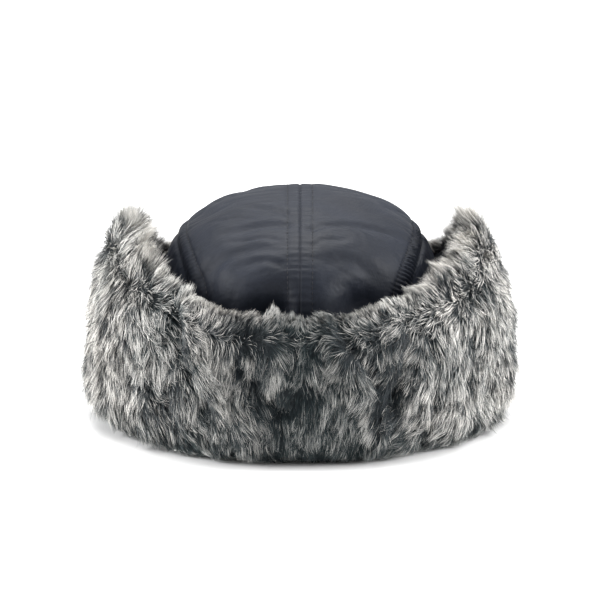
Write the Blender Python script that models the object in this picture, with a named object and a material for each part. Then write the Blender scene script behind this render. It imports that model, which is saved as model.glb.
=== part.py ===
"""Trapper hat: a four-panel padded crown inside a folded-up band of faux-fur flaps.

The front of the hat faces -Y, the wearer's left is +X, and the hat stands on its hem at Z = 0.
Crown layers are given by their depth under the crown's outer face, flap layers by their distance
outside the flap's nylon face, which is the side that faces the crown while the flaps are up.
"""

import math

import bmesh
import bpy

# ---- crown, outer face -------------------------------------------------------------------
HEM_HALF_WIDTH = 0.0885
HEM_HALF_DEPTH = 0.1075
CROWN_HALF_WIDTH = 0.0888
CROWN_HALF_DEPTH = 0.1085
WALL_HEIGHT = 0.080
DOME_HEIGHT = 0.062
DOME_POWER = 2.5

# ---- crown, seams and layers --------------------------------------------------------------
SIDE_SEAM_AT_TOP = 0.90
SIDE_SEAM_CURVE = 0.28
SEAM_GAP = 0.0025
SHELL_LAYER = (0.0, 0.0012)
TAPE_LAYER = (0.0018, 0.0022)
WADDING_LAYER = (0.0028, 0.0058)
LINING_LAYER = (0.0062, 0.0070)
SWEATBAND_LAYER = (0.0079, 0.0089)
BINDING_LAYER = (-0.0015, 0.0089)
TAPE_HALF_WIDTH = 0.009
BINDING_HEIGHT = 0.0030
LAYERS_START = 0.0033
SWEATBAND_TOP = 0.036

# ---- flaps ---------------------------------------------------------------------------------
FLAP_START = 0.0004
FLAP_FOLD_HALF_WIDTH = 0.0925
FLAP_FOLD_HALF_DEPTH = 0.1115
FLAP_LEAN = 0.08
FLAP_SHELL_LAYER = (0.0, 0.0012)
FLAP_WADDING_LAYER = (0.0015, 0.0050)
FLAP_FUR_START = 0.0053
PILE_AT_SIDE = 0.0400
PILE_AT_ENDS = 0.0270
PILE_AT_FOLD = 0.62
PILE_FULL_AT = 0.30
PILE_AT_EDGE = 0.28
PILE_END_SHARE = 0.85
PILE_END_ANGLE = 12.0
PILE_TAPER_POWER = 2.2
WADDING_INSET = 0.003
FLAP_SPLIT_ANGLE = 50.0
FLAP_SPLIT_GAP = 0.6
EAR_TIP_HEIGHT = 0.119
EAR_BACK_HEIGHT = 0.094
EAR_FRONT_HEIGHT = 0.084
EAR_FRONT_POWER = 2.2
NECK_HEIGHT = 0.085
FRONT_HEIGHT = 0.084
FRONT_CORNER_DROP = 0.020
EAR_HINGE_X = 0.0955
NECK_HINGE_Y = 0.1145

# ---- chin straps and buckle ------------------------------------------------------------------
STRAP_WIDTH = 0.020
STRAP_THICKNESS = 0.0014
STRAP_OFF_FACE = 0.0011
STRAP_TOP = 0.110
STRAP_BOTTOM = 0.064
BUCKLE_GAP = 0.0004
BUCKLE_LENGTH = 0.030
BUCKLE_WIDTH = 0.026
BUCKLE_THICKNESS = 0.0050
BUCKLE_BEVEL = 0.0014
PRONG_BASE_LENGTH = 0.012
PRONG_WIDTH = 0.0050
PRONG_SPREAD = 0.0088

# ---- mesh density ------------------------------------------------------------------------
PANEL_COLUMNS = 6
PANEL_ROWS = 9
SIDE_COLUMNS = 10
TAPE_COLUMNS = 2
RING_SEGMENTS = 40
FLAP_COLUMNS = 14
FLAP_ROWS = 6
MERGE_DISTANCE = 1e-6
BISECTIONS = 40
SHARP_ANGLE = 40.0

COLOURS = {
    "nylon": ((0.016, 0.019, 0.028), 0.46),
    "lining": ((0.030, 0.034, 0.046), 0.62),
    "wadding": ((0.80, 0.80, 0.78), 0.95),
    "tape": ((0.022, 0.024, 0.030), 0.80),
    "sweatband": ((0.020, 0.022, 0.030), 0.85),
    "fur": ((0.33, 0.33, 0.33), 0.90),
    "webbing": ((0.012, 0.013, 0.016), 0.75),
    "buckle": ((0.010, 0.010, 0.012), 0.38),
}


def clear_scene():
    """Removes every object that the file opens with."""
    for obj in list(bpy.data.objects):
        bpy.data.objects.remove(obj)


def make_materials():
    """One plain Principled material for each kind of stuff in the hat."""
    made = {}
    for name, (colour, roughness) in COLOURS.items():
        material = bpy.data.materials.new(name)
        material.use_nodes = True
        shader = material.node_tree.nodes["Principled BSDF"]
        shader.inputs["Base Color"].default_value = (*colour, 1.0)
        shader.inputs["Roughness"].default_value = roughness
        shader.inputs["Metallic"].default_value = 0.0
        made[name] = material
    return made


def add_object(name, points, faces, material, origin=(0.0, 0.0, 0.0)):
    """A closed mesh object whose own origin is at the given world point."""
    mesh = bpy.data.meshes.new(name)
    shape = bmesh.new()
    verts = [shape.verts.new([p[i] - origin[i] for i in range(3)]) for p in points]
    for face in faces:
        shape.faces.new([verts[i] for i in face])
    bmesh.ops.remove_doubles(shape, verts=shape.verts, dist=MERGE_DISTANCE)
    bmesh.ops.dissolve_degenerate(shape, edges=shape.edges, dist=MERGE_DISTANCE)
    bmesh.ops.recalc_face_normals(shape, faces=shape.faces)
    shape.to_mesh(mesh)
    shape.free()
    mesh.materials.append(material)
    mesh.shade_smooth()
    mesh.set_sharp_from_angle(angle=math.radians(SHARP_ANGLE))
    obj = bpy.data.objects.new(name, mesh)
    obj.location = origin
    bpy.context.scene.collection.objects.link(obj)
    return obj


def slab(name, near, far, material, origin=(0.0, 0.0, 0.0), ring=False):
    """A closed slab between two grids of points; a ring's last column joins its first.

    Both faces are cut along the same diagonals, so that stacked slabs stay parallel.
    """
    columns, rows = len(near), len(near[0])
    points = [p for grid in (near, far) for column in grid for p in column]
    far_from = columns * rows
    spans = columns if ring else columns - 1

    def at(c, r):
        return (c % columns) * rows + r

    faces = []
    for c in range(spans):
        for r in range(rows - 1):
            low, high = (at(c, r), at(c + 1, r)), (at(c, r + 1), at(c + 1, r + 1))
            for face in ([low[0], low[1], high[1]], [low[0], high[1], high[0]]):
                faces.append(face)
                faces.append([far_from + i for i in reversed(face)])
        for r in (0, rows - 1):
            a, b = at(c, r), at(c + 1, r)
            faces.append([a, b, far_from + b, far_from + a])
    if not ring:
        for c in (0, columns - 1):
            for r in range(rows - 1):
                a, b = at(c, r), at(c, r + 1)
                faces.append([a, b, far_from + b, far_from + a])
    return add_object(name, points, faces, material, origin)


# ---- the crown's surface -----------------------------------------------------------------
# A point on a layer has shares across and along: its x and y over the layer's widest half axes.


def crown_section(z, depth):
    """Widest half width and half depth of the layer, and how far its oval has shrunk at z."""
    rise = min(z / WALL_HEIGHT, 1.0)
    half_width = HEM_HALF_WIDTH + (CROWN_HALF_WIDTH - HEM_HALF_WIDTH) * rise - depth
    half_depth = HEM_HALF_DEPTH + (CROWN_HALF_DEPTH - HEM_HALF_DEPTH) * rise - depth
    above = min(max(z - WALL_HEIGHT, 0.0) / (DOME_HEIGHT - depth), 1.0)
    return half_width, half_depth, (1.0 - above**DOME_POWER) ** (1.0 / DOME_POWER)


def crown_height_at(across, depth):
    """Height of the layer on the hat's middle cross-section."""
    above = (1.0 - min(abs(across), 1.0) ** DOME_POWER) ** (1.0 / DOME_POWER)
    return WALL_HEIGHT + above * (DOME_HEIGHT - depth)


def side_seam(along):
    """Share across of the seam between a centre panel and a side panel."""
    return SIDE_SEAM_AT_TOP - SIDE_SEAM_CURVE * along**2


def where_line_meets(line, shrink):
    """The share along at which the line meets the oval that has shrunk so far."""
    low, high = 0.0, shrink
    for _ in range(BISECTIONS):
        along = (low + high) / 2
        if line(along) ** 2 + along**2 < shrink**2:
            low = along
        else:
            high = along
    return (low + high) / 2


def row_height(row, top):
    """Height of a row of points: rows crowd together near the top."""
    return LAYERS_START + (top - LAYERS_START) * math.sin(row / PANEL_ROWS * math.pi / 2)


def curve_over_crown(line, depth, side):
    """Points from the back hem over the top to the front hem, at the line's share across."""
    top = crown_height_at(line(0.0), depth)
    back = []
    for row in range(PANEL_ROWS):
        z = row_height(row, top)
        half_width, half_depth, shrink = crown_section(z, depth)
        along = where_line_meets(line, shrink)
        back.append((side * line(along) * half_width, along * half_depth, z))
    front = [(x, -y, z) for x, y, z in reversed(back)]
    half_width = crown_section(top, depth)[0]
    return back + [(side * line(0.0) * half_width, 0.0, top)] + front


def strip_over_crown(name, inner_line, outer_line, columns, layer, side, material):
    """A slab over the crown from hem to hem, between two plan lines."""

    def grid(depth):
        made = []
        for c in range(columns + 1):

            def line(along, share=c / columns):
                return inner_line(along) * (1.0 - share) + outer_line(along) * share

            made.append(curve_over_crown(line, depth, side))
        return made

    return slab(name, grid(layer[0]), grid(layer[1]), material)


def centre_panel(name, layer, side, material):
    """Half of the crown's middle strip, from the centre seam to a side seam."""
    return strip_over_crown(
        name,
        lambda along: SEAM_GAP,
        lambda along: side_seam(along) - SEAM_GAP,
        PANEL_COLUMNS,
        layer,
        side,
        material,
    )


def side_panel(name, layer, side, material):
    """A half-moon panel beside the head, under the arch of a side seam."""

    def edge(along):
        return side_seam(along) + SEAM_GAP

    def grid(depth):
        top = crown_height_at(edge(0.0), depth)
        rows = []
        for r in range(PANEL_ROWS + 1):
            z = row_height(r, top)
            half_width, half_depth, shrink = crown_section(z, depth)
            reach = where_line_meets(edge, shrink) if r < PANEL_ROWS else 0.0
            row = []
            for c in range(SIDE_COLUMNS + 1):
                along = reach * (2.0 * c / SIDE_COLUMNS - 1.0)
                across = math.sqrt(shrink**2 - along**2)
                row.append((side * across * half_width, along * half_depth, z))
            rows.append(row)
        return rows

    return slab(name, grid(layer[0]), grid(layer[1]), material)


def centre_tape(name, material):
    """The tape that covers the centre seam on the inside of the shell."""
    return strip_over_crown(
        name,
        lambda along: -TAPE_HALF_WIDTH / CROWN_HALF_WIDTH,
        lambda along: TAPE_HALF_WIDTH / CROWN_HALF_WIDTH,
        TAPE_COLUMNS,
        TAPE_LAYER,
        1,
        material,
    )


def crown_ring(name, layer, bottom, top, material):
    """A band all round the crown's wall between two heights."""

    def grid(depth):
        columns = []
        for c in range(RING_SEGMENTS):
            turn = 2.0 * math.pi * c / RING_SEGMENTS
            column = []
            for z in (bottom, top):
                half_width, half_depth, _ = crown_section(z, depth)
                column.append((half_width * math.cos(turn), half_depth * math.sin(turn), z))
            columns.append(column)
        return columns

    return slab(name, grid(layer[0]), grid(layer[1]), material, ring=True)


# ---- the flaps' surface ------------------------------------------------------------------


def flap_half_axes(z, out):
    """Half width and half depth of the folded-up flaps' oval, out from the nylon face."""
    grown = FLAP_LEAN * z + out
    return FLAP_FOLD_HALF_WIDTH + grown, FLAP_FOLD_HALF_DEPTH + grown


def ear_height(angle):
    """Height of an ear flap's edge: a rounded tip above the ear, steeper on its front side."""
    share = max(-1.0, min(1.0, angle / FLAP_SPLIT_ANGLE))
    hump = 0.5 + 0.5 * math.cos(math.pi * share)
    if share > 0:
        return EAR_BACK_HEIGHT + (EAR_TIP_HEIGHT - EAR_BACK_HEIGHT) * hump
    return EAR_FRONT_HEIGHT + (EAR_TIP_HEIGHT - EAR_FRONT_HEIGHT) * hump**EAR_FRONT_POWER


def neck_height(angle):
    """Height of the neck flap's edge: lowest at the middle of the back."""
    share = (angle - 90.0) / (90.0 - FLAP_SPLIT_ANGLE)
    return NECK_HEIGHT + (EAR_BACK_HEIGHT - NECK_HEIGHT) * share**2


def front_height(angle):
    """Height of the front flap's edge: level, with rounded corners."""
    share = (angle + 90.0) / (90.0 - FLAP_SPLIT_ANGLE)
    return FRONT_HEIGHT - FRONT_CORNER_DROP * share**4


def pile_share(height_share, from_end):
    """Pile depth as a share of the full pile, by height and by angle from the flap's end."""
    if height_share < PILE_FULL_AT:
        rise = math.sin(height_share / PILE_FULL_AT * math.pi / 2)
        up = PILE_AT_FOLD + (1.0 - PILE_AT_FOLD) * rise
    else:
        above = (height_share - PILE_FULL_AT) / (1.0 - PILE_FULL_AT)
        up = 1.0 - (1.0 - PILE_AT_EDGE) * above**PILE_TAPER_POWER
    swell = math.sin(min(from_end / PILE_END_ANGLE, 1.0) * math.pi / 2)
    return up * (PILE_END_SHARE + (1.0 - PILE_END_SHARE) * swell)


def flap_layer(name, middle, half_angle, edge_height, layer, material, origin, inset=0.0):
    """A curved slab of the flap between two distances out from its nylon face."""

    def grid(out):
        columns = []
        for c in range(FLAP_COLUMNS + 1):
            angle = middle + half_angle * (2.0 * c / FLAP_COLUMNS - 1.0)
            turn = math.radians(angle)
            column = []
            for r in range(FLAP_ROWS + 1):
                share = r / FLAP_ROWS
                z = FLAP_START + inset + share * (edge_height(angle) - FLAP_START - 2 * inset)
                from_end = half_angle - abs(angle - middle)
                out_at_side, out_at_ends = out(share, from_end)
                half_width = flap_half_axes(z, out_at_side)[0]
                half_depth = flap_half_axes(z, out_at_ends)[1]
                column.append((half_width * math.cos(turn), half_depth * math.sin(turn), z))
            columns.append(column)
        return columns

    return slab(name, grid(layer[0]), grid(layer[1]), material, origin)


def constant(out):
    """A layer face that is the same distance out all over."""
    return lambda share, from_end: (out, out)


def pile_face(share, from_end):
    """The fur's outer face: deeper pile at the sides than at the front and back."""
    pile = pile_share(share, from_end)
    return FLAP_FUR_START + PILE_AT_SIDE * pile, FLAP_FUR_START + PILE_AT_ENDS * pile


def make_flap(prefix, middle, half_angle, edge_height, origin, materials):
    """A flap's nylon shell, wadding and fur, in that order outwards."""
    shell = (constant(FLAP_SHELL_LAYER[0]), constant(FLAP_SHELL_LAYER[1]))
    wadding = (constant(FLAP_WADDING_LAYER[0]), constant(FLAP_WADDING_LAYER[1]))
    fur = (constant(FLAP_FUR_START), pile_face)
    args = (middle, half_angle, edge_height)
    flap_layer(prefix + "_shell", *args, shell, materials["nylon"], origin)
    flap_layer(prefix + "_wadding", *args, wadding, materials["wadding"], origin, WADDING_INSET)
    flap_layer(prefix + "_fur", *args, fur, materials["fur"], origin)


# ---- chin straps and buckle ------------------------------------------------------------------


def face_x(z):
    """Distance of the ear flap's nylon face from the centre plane."""
    return flap_half_axes(z, 0.0)[0]


def along_face(side, z, y, towards_crown):
    """A point off the ear flap's nylon face, at height z and y from its middle."""
    length = math.hypot(FLAP_LEAN, 1.0)
    x = face_x(z) - towards_crown / length
    return (side * x, y, z + towards_crown * FLAP_LEAN / length)


def prism_on_face(name, side, outline, near, far, material, origin, bevel=0.0):
    """An outline of (y, z) points on the nylon face, extruded towards the crown."""
    count = len(outline)
    points = [along_face(side, z, y, near) for y, z in outline]
    points += [along_face(side, z, y, far) for y, z in outline]
    faces = [list(range(count)), list(range(count, 2 * count))[::-1]]
    for i in range(count):
        j = (i + 1) % count
        faces.append([i, count + i, count + j, j])
    obj = add_object(name, points, faces, material, origin)
    if bevel:
        rounding = obj.modifiers.new("edges", "BEVEL")
        rounding.width = bevel
        rounding.segments = 1
        rounding.limit_method = "ANGLE"
    return obj


def box_outline(half_width, bottom, top):
    """A rectangle in the face's (y, z) coordinates."""
    return [(-half_width, bottom), (half_width, bottom), (half_width, top), (-half_width, top)]


def socket_outline(top):
    """The buckle's female half: a plate with a rounded mouth at its lower end."""
    half, low = BUCKLE_WIDTH / 2, top - BUCKLE_LENGTH
    corner = BUCKLE_WIDTH / 6
    return [
        (-half + corner, low),
        (half - corner, low),
        (half, low + corner),
        (half, top),
        (-half, top),
        (-half, low + corner),
    ]


def prong_outline(top):
    """The buckle's male half: a base plate with a centre guide and two side prongs."""
    half, low = BUCKLE_WIDTH / 2, top - BUCKLE_LENGTH
    base = top - PRONG_BASE_LENGTH
    tooth = PRONG_WIDTH / 2
    return [
        (-PRONG_SPREAD - tooth, low + tooth),
        (-PRONG_SPREAD, low),
        (-PRONG_SPREAD + tooth, low + tooth),
        (-PRONG_SPREAD + tooth, base),
        (-tooth, base),
        (-tooth, low + tooth),
        (tooth, low + tooth),
        (tooth, base),
        (PRONG_SPREAD - tooth, base),
        (PRONG_SPREAD - tooth, low + tooth),
        (PRONG_SPREAD, low),
        (PRONG_SPREAD + tooth, low + tooth),
        (PRONG_SPREAD + tooth, base),
        (half, base),
        (half, top),
        (-half, top),
        (-half, base),
        (-PRONG_SPREAD - tooth, base),
    ]


def make_chin_strap(side, strap_name, buckle_name, buckle_shape, origin, materials):
    """Webbing sewn under the ear flap's tip, with its half of the buckle at the free end."""
    near, far = STRAP_OFF_FACE, STRAP_OFF_FACE + STRAP_THICKNESS
    outline = box_outline(STRAP_WIDTH / 2, STRAP_BOTTOM, STRAP_TOP)
    prism_on_face(strap_name, side, outline, near, far, materials["webbing"], origin)
    outline = buckle_shape(STRAP_BOTTOM - BUCKLE_GAP)
    far = STRAP_OFF_FACE + BUCKLE_THICKNESS
    bevel = BUCKLE_BEVEL if buckle_shape is socket_outline else 0.0
    prism_on_face(buckle_name, side, outline, near, far, materials["buckle"], origin, bevel)


# ---- the whole hat ----------------------------------------------------------------------


def make_crown(materials):
    """Shell, seam tape, wadding, lining, sweatband and hem binding."""
    for word, side in (("left", 1), ("right", -1)):
        centre_panel("crown_panel_" + word, SHELL_LAYER, side, materials["nylon"])
        side_panel("side_panel_" + word, SHELL_LAYER, side, materials["nylon"])
        centre_panel("wadding_panel_" + word, WADDING_LAYER, side, materials["wadding"])
        side_panel("wadding_side_" + word, WADDING_LAYER, side, materials["wadding"])
        centre_panel("lining_panel_" + word, LINING_LAYER, side, materials["lining"])
        side_panel("lining_side_" + word, LINING_LAYER, side, materials["lining"])
    centre_tape("centre_seam_tape", materials["tape"])
    crown_ring("sweatband", SWEATBAND_LAYER, LAYERS_START, SWEATBAND_TOP, materials["sweatband"])
    crown_ring("hem_binding", BINDING_LAYER, 0.0, BINDING_HEIGHT, materials["tape"])


def make_flaps(materials):
    """The fixed front flap, and the two ear flaps and the neck flap, which fold down."""
    end_half = 90.0 - FLAP_SPLIT_ANGLE - FLAP_SPLIT_GAP
    ear_half = FLAP_SPLIT_ANGLE - FLAP_SPLIT_GAP
    make_flap("front_flap", -90.0, end_half, front_height, (0.0, 0.0, 0.0), materials)
    make_flap("neck_flap", 90.0, end_half, neck_height, (0.0, NECK_HINGE_Y, 0.0), materials)
    left_hinge, right_hinge = (EAR_HINGE_X, 0.0, 0.0), (-EAR_HINGE_X, 0.0, 0.0)
    make_flap("ear_flap_left", 0.0, ear_half, ear_height, left_hinge, materials)
    make_flap("ear_flap_right", 180.0, ear_half, lambda a: ear_height(180.0 - a), right_hinge, materials)
    make_chin_strap(1, "chin_strap_left", "buckle_socket", socket_outline, left_hinge, materials)
    make_chin_strap(-1, "chin_strap_right", "buckle_prong", prong_outline, right_hinge, materials)


def main():
    clear_scene()
    materials = make_materials()
    make_crown(materials)
    make_flaps(materials)


main()
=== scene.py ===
"""Looks of the trapper hat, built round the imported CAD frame.

The hat's front faces -Y and the camera stands behind it. Crown pieces follow the crown's outer face
at a depth under it, flap pieces follow the flaps' nylon face at a distance outside it, and the fur
is made of separate tapered strands that are combed, clumped and shaded from root to tip.
"""

import itertools
import math

import bmesh
import bpy
import numpy as np
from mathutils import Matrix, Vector, kdtree


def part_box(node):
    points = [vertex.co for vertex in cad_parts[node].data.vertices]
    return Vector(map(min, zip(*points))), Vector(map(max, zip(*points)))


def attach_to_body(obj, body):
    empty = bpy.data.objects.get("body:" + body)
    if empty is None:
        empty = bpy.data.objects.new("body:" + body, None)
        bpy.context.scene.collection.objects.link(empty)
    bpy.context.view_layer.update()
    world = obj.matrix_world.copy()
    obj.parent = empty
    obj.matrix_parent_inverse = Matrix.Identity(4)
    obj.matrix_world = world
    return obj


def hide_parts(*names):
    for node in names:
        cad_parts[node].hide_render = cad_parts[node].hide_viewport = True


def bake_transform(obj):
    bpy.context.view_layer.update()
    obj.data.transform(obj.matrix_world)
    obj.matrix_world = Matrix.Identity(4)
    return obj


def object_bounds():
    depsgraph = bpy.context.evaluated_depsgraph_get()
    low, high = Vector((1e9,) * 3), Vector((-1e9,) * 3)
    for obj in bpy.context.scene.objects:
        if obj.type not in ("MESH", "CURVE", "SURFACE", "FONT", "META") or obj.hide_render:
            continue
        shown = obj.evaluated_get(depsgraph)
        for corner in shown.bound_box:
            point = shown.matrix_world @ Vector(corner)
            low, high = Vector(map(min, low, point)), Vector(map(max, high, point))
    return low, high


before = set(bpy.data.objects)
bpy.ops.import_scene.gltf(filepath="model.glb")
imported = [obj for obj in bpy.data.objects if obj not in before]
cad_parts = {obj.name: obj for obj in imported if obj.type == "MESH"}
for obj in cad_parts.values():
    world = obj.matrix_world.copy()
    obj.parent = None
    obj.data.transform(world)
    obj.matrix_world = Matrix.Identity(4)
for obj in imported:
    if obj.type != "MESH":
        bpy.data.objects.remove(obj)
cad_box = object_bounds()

# ---- crown, worked out from the frame ----
CROWN_HALF_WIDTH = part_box("side_panel_left")[1].x
CROWN_HALF_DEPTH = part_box("crown_panel_left")[1].y
CROWN_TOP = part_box("crown_panel_left")[1].z
HEM_TAPER = (0.0003, 0.0010)
WALL_HEIGHT = 0.080
DOME_HEIGHT = CROWN_TOP - WALL_HEIGHT
DOME_POWER = 2.5
SIDE_SEAM_AT_TOP = 0.90
SIDE_SEAM_CURVE = 0.28
LAYERS_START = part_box("crown_panel_left")[0].z
SWEATBAND_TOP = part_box("sweatband")[1].z
BINDING_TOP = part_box("hem_binding")[1].z
SHELL_LAYER = (0.0, 0.0012)
TAPE_LAYER = (0.0018, 0.0022)
WADDING_LAYER = (0.0028, 0.0058)
LINING_LAYER = (0.0062, 0.0070)
SWEATBAND_LAYER = (0.0079, 0.0089)
BINDING_LAYER = (-0.0015, 0.0089)

# ---- flaps ----
FOLD_HALF_WIDTH = 0.0925
FOLD_HALF_DEPTH = 0.1115
FLAP_LEAN = 0.08
FLAP_SHELL = (0.0, 0.0012)
FLAP_WADDING = (0.0015, 0.0050)
FLAP_TURN_IN = 0.0039
FUR_START = 0.0053
FLAP_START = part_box("neck_flap_shell")[0].z
EAR_TIP_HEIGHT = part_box("ear_flap_left_shell")[1].z
NECK_HEIGHT = 0.085
FRONT_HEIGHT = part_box("front_flap_shell")[1].z
EAR_BACK_HEIGHT = 0.094
EAR_FRONT_HEIGHT = 0.084
EAR_FRONT_POWER = 2.2
FRONT_CORNER_DROP = 0.020
SPLIT_ANGLE = 50.0
SPLIT_GAP = 0.6
PILE_AT_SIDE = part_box("ear_flap_left_fur")[1].x - FOLD_HALF_WIDTH - FUR_START - 0.003
PILE_AT_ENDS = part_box("neck_flap_fur")[1].y - FOLD_HALF_DEPTH - FUR_START - 0.002
UNDERCOAT_SHARE = 0.77


# ---- small tools ----


TURN = 2.0 * math.pi
UPRIGHT = np.array([0.0, 0.0, 1.0])


def smooth(low, high, value):
    """0 below low, 1 above high, and a smooth rise between them."""
    share = np.clip((value - low) / (high - low), 0.0, 1.0)
    return share * share * (3.0 - 2.0 * share)


def bell(value, middle, width):
    """1 at the middle, falling smoothly to 0 on both sides of it."""
    return np.exp(-(((value - middle) / width) ** 2))


def partly(least, share):
    """From the least value at share 0 to 1 at share 1."""
    return least + (1.0 - least) * share


def ease(share):
    """A quarter of a sine: from 0 to 1, steep at first and level at the end."""
    return np.sin(np.clip(share, 0.0, 1.0) * math.pi / 2)


def noise(points, size, seed=0):
    """Smooth noise from -1 to 1 at points in space, with features of about the given size."""
    cell = np.asarray(points, float) / size
    low = np.floor(cell).astype(np.int64)
    part = cell - low
    part = part * part * (3.0 - 2.0 * part)
    total = np.zeros(cell.shape[:-1])
    for corner in itertools.product((0, 1), repeat=3):
        at = low + np.array(corner)
        key = at[..., 0] * 73856093 ^ at[..., 1] * 19349663 ^ at[..., 2] * 83492791
        key = (key + seed * 7919) & 0xFFFFFFFF
        key = ((key ^ (key >> 15)) * 2246822519) & 0xFFFFFFFF
        key = ((key ^ (key >> 13)) * 3266489917) & 0xFFFFFFFF
        weight = np.prod(np.where(np.array(corner), part, 1.0 - part), axis=-1)
        total += weight * (key / 2147483648.0 - 1.0)
    return total


def waves(points, *kinds):
    """The sum of some noises, each given by its strength, size and seed."""
    return sum(strength * noise(points, size, seed) for strength, size, seed in kinds)


def unit(vectors):
    """The vectors at length one."""
    return vectors / np.maximum(np.linalg.norm(vectors, axis=-1, keepdims=True), 1e-12)


def level_directions(turn):
    """The level directions round the hat and out of it, at the given turns."""
    sine, cosine, level = np.sin(turn), np.cos(turn), np.zeros_like(turn)
    return np.stack([-sine, cosine, level], -1), np.stack([cosine, sine, level], -1)


def under(point, normal, depth):
    """The points at a depth under a face."""
    return point - normal * depth[..., None]


def cells(columns, rows, first=0, ring=False):
    """The quads of a grid whose points are stored column by column."""
    spans = columns if ring else columns - 1
    c, r = np.meshgrid(np.arange(spans), np.arange(rows - 1), indexing="ij")
    here, there = c * rows + r, (c + 1) % columns * rows + r
    return first + np.stack([here, there, there + 1, here + 1], -1).reshape(-1, 4)


def slab_quads(columns, rows, ring=False):
    """The quads of a closed slab between a near grid and a far grid, all facing outwards."""
    far = columns * rows
    quads = [cells(columns, rows, far, ring), cells(columns, rows, 0, ring)[:, ::-1]]
    c = np.arange(columns if ring else columns - 1)
    here, there = c * rows, (c + 1) % columns * rows
    quads.append(np.stack([here, there, there + far, here + far], -1))
    here, there = here + rows - 1, there + rows - 1
    quads.append(np.stack([here + far, there + far, there, here], -1))
    if not ring:
        r = np.arange(rows - 1)
        quads.append(np.stack([r, r + far, r + 1 + far, r + 1], -1))
        r = r + (columns - 1) * rows
        quads.append(np.stack([r + far, r, r + 1, r + 1 + far], -1))
    return quads


def new_mesh(name, points, quads, triangles=None):
    """A mesh from arrays of points, quads and triangles."""
    triangles = np.zeros((0, 3), int) if triangles is None else triangles
    corners = np.concatenate([quads.ravel(), triangles.ravel()]).astype(np.int32)
    counts = np.concatenate([np.full(len(quads), 4), np.full(len(triangles), 3)])
    starts = np.concatenate([[0], np.cumsum(counts)[:-1]]).astype(np.int32)
    mesh = bpy.data.meshes.new(name)
    mesh.vertices.add(len(points))
    mesh.vertices.foreach_set("co", np.asarray(points, np.float32).ravel())
    mesh.loops.add(len(corners))
    mesh.loops.foreach_set("vertex_index", corners)
    mesh.polygons.add(len(counts))
    mesh.polygons.foreach_set("loop_start", starts)
    mesh.update(calc_edges=True)
    mesh.shade_smooth()
    return mesh


def add_to_scene(obj):
    """Links an object to the scene."""
    bpy.context.scene.collection.objects.link(obj)
    return obj


def new_object(name, mesh, material):
    """An object for a mesh, in the scene, with its material."""
    mesh.materials.append(material)
    return add_to_scene(bpy.data.objects.new(name, mesh))


def label(node=None):
    """Hides the CAD node that a piece replaces, if one is given."""
    if node:
        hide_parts(node)


def closed_object(name, points, quads, material, sharp=50.0):
    """An object of one closed body, with merged points and faces that all look outwards."""
    mesh = new_mesh(name, points, quads)
    shape = bmesh.new()
    shape.from_mesh(mesh)
    bmesh.ops.remove_doubles(shape, verts=shape.verts, dist=1e-6)
    bmesh.ops.recalc_face_normals(shape, faces=shape.faces)
    shape.to_mesh(mesh)
    shape.free()
    mesh.shade_smooth()
    mesh.set_sharp_from_angle(angle=math.radians(sharp))
    return new_object(name, mesh, material)


def slab_object(name, near, far, material, ring=False):
    """A closed slab between two grids of points."""
    columns, rows = near.shape[:2]
    points = np.concatenate([near.reshape(-1, 3), far.reshape(-1, 3)])
    return closed_object(name, points, np.concatenate(slab_quads(columns, rows, ring)), material)


def tube_rings(path, sideways, upwards, radii, sides):
    """Rings of points round a path, with the given radii."""
    turn = np.linspace(0.0, TURN, sides, endpoint=False)
    across, up = (way[None, :, None] * radii[:, None, None] for way in (np.cos(turn), np.sin(turn)))
    return path[:, None, :] + sideways[:, None, :] * across + upwards[:, None, :] * up


def attach(obj, body, node=None):
    """Makes a piece ride on a body, and hides the CAD node that it replaces."""
    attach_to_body(obj, body)
    label(node)


# ---- materials ----


def new_material(name, colour, roughness, **sockets):
    """A Principled material and its node tree."""
    material = bpy.data.materials.new(name)
    material.use_nodes = True
    shader = material.node_tree.nodes["Principled BSDF"]
    shader.inputs["Base Color"].default_value = (*colour, 1.0)
    shader.inputs["Roughness"].default_value = roughness
    for socket, value in sockets.items():
        shader.inputs[socket.replace("_", " ")].default_value = value
    return material, material.node_tree, shader


def add_node(tree, kind, inputs=None, **settings):
    """A node with its settings, and its inputs linked or set."""
    node = tree.nodes.new(kind)
    for name, value in settings.items():
        setattr(node, name, value)
    for name, value in (inputs or {}).items():
        if isinstance(value, bpy.types.NodeSocket):
            tree.links.new(value, node.inputs[name])
        else:
            node.inputs[name].default_value = value
    return node


def object_place(tree):
    """The place on the object, for textures that stay on it as it moves."""
    return add_node(tree, "ShaderNodeTexCoord").outputs["Object"]


def add_noise(tree, scale, detail, place=None):
    """The factor of a noise texture in object space."""
    inputs = {"Vector": place or object_place(tree), "Scale": scale, "Detail": detail}
    return add_node(tree, "ShaderNodeTexNoise", inputs).outputs["Fac"]


def add_ramp(tree, factor, stops):
    """A colour ramp with its own stops of (position, colour)."""
    node = add_node(tree, "ShaderNodeValToRGB", {"Fac": factor})
    ramp = node.color_ramp
    ramp.elements[0].position, ramp.elements[0].color = stops[0][0], (*stops[0][1], 1.0)
    ramp.elements[1].position, ramp.elements[1].color = stops[-1][0], (*stops[-1][1], 1.0)
    for position, colour in stops[1:-1]:
        ramp.elements.new(position).color = (*colour, 1.0)
    return node.outputs["Color"]


def add_math(tree, operation, a, b):
    """A math node on two inputs."""
    return add_node(tree, "ShaderNodeMath", {0: a, 1: b}, operation=operation).outputs["Value"]


def set_colour(tree, shader, factor, stops):
    """Colours the surface by a ramp over a factor."""
    tree.links.new(add_ramp(tree, factor, stops), shader.inputs["Base Color"])


def set_roughness(tree, shader, factor, low, high):
    """Varies the roughness between two values by a factor."""
    spread = add_node(tree, "ShaderNodeMapRange", {"Value": factor, "To Min": low, "To Max": high})
    tree.links.new(spread.outputs["Result"], shader.inputs["Roughness"])


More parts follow.
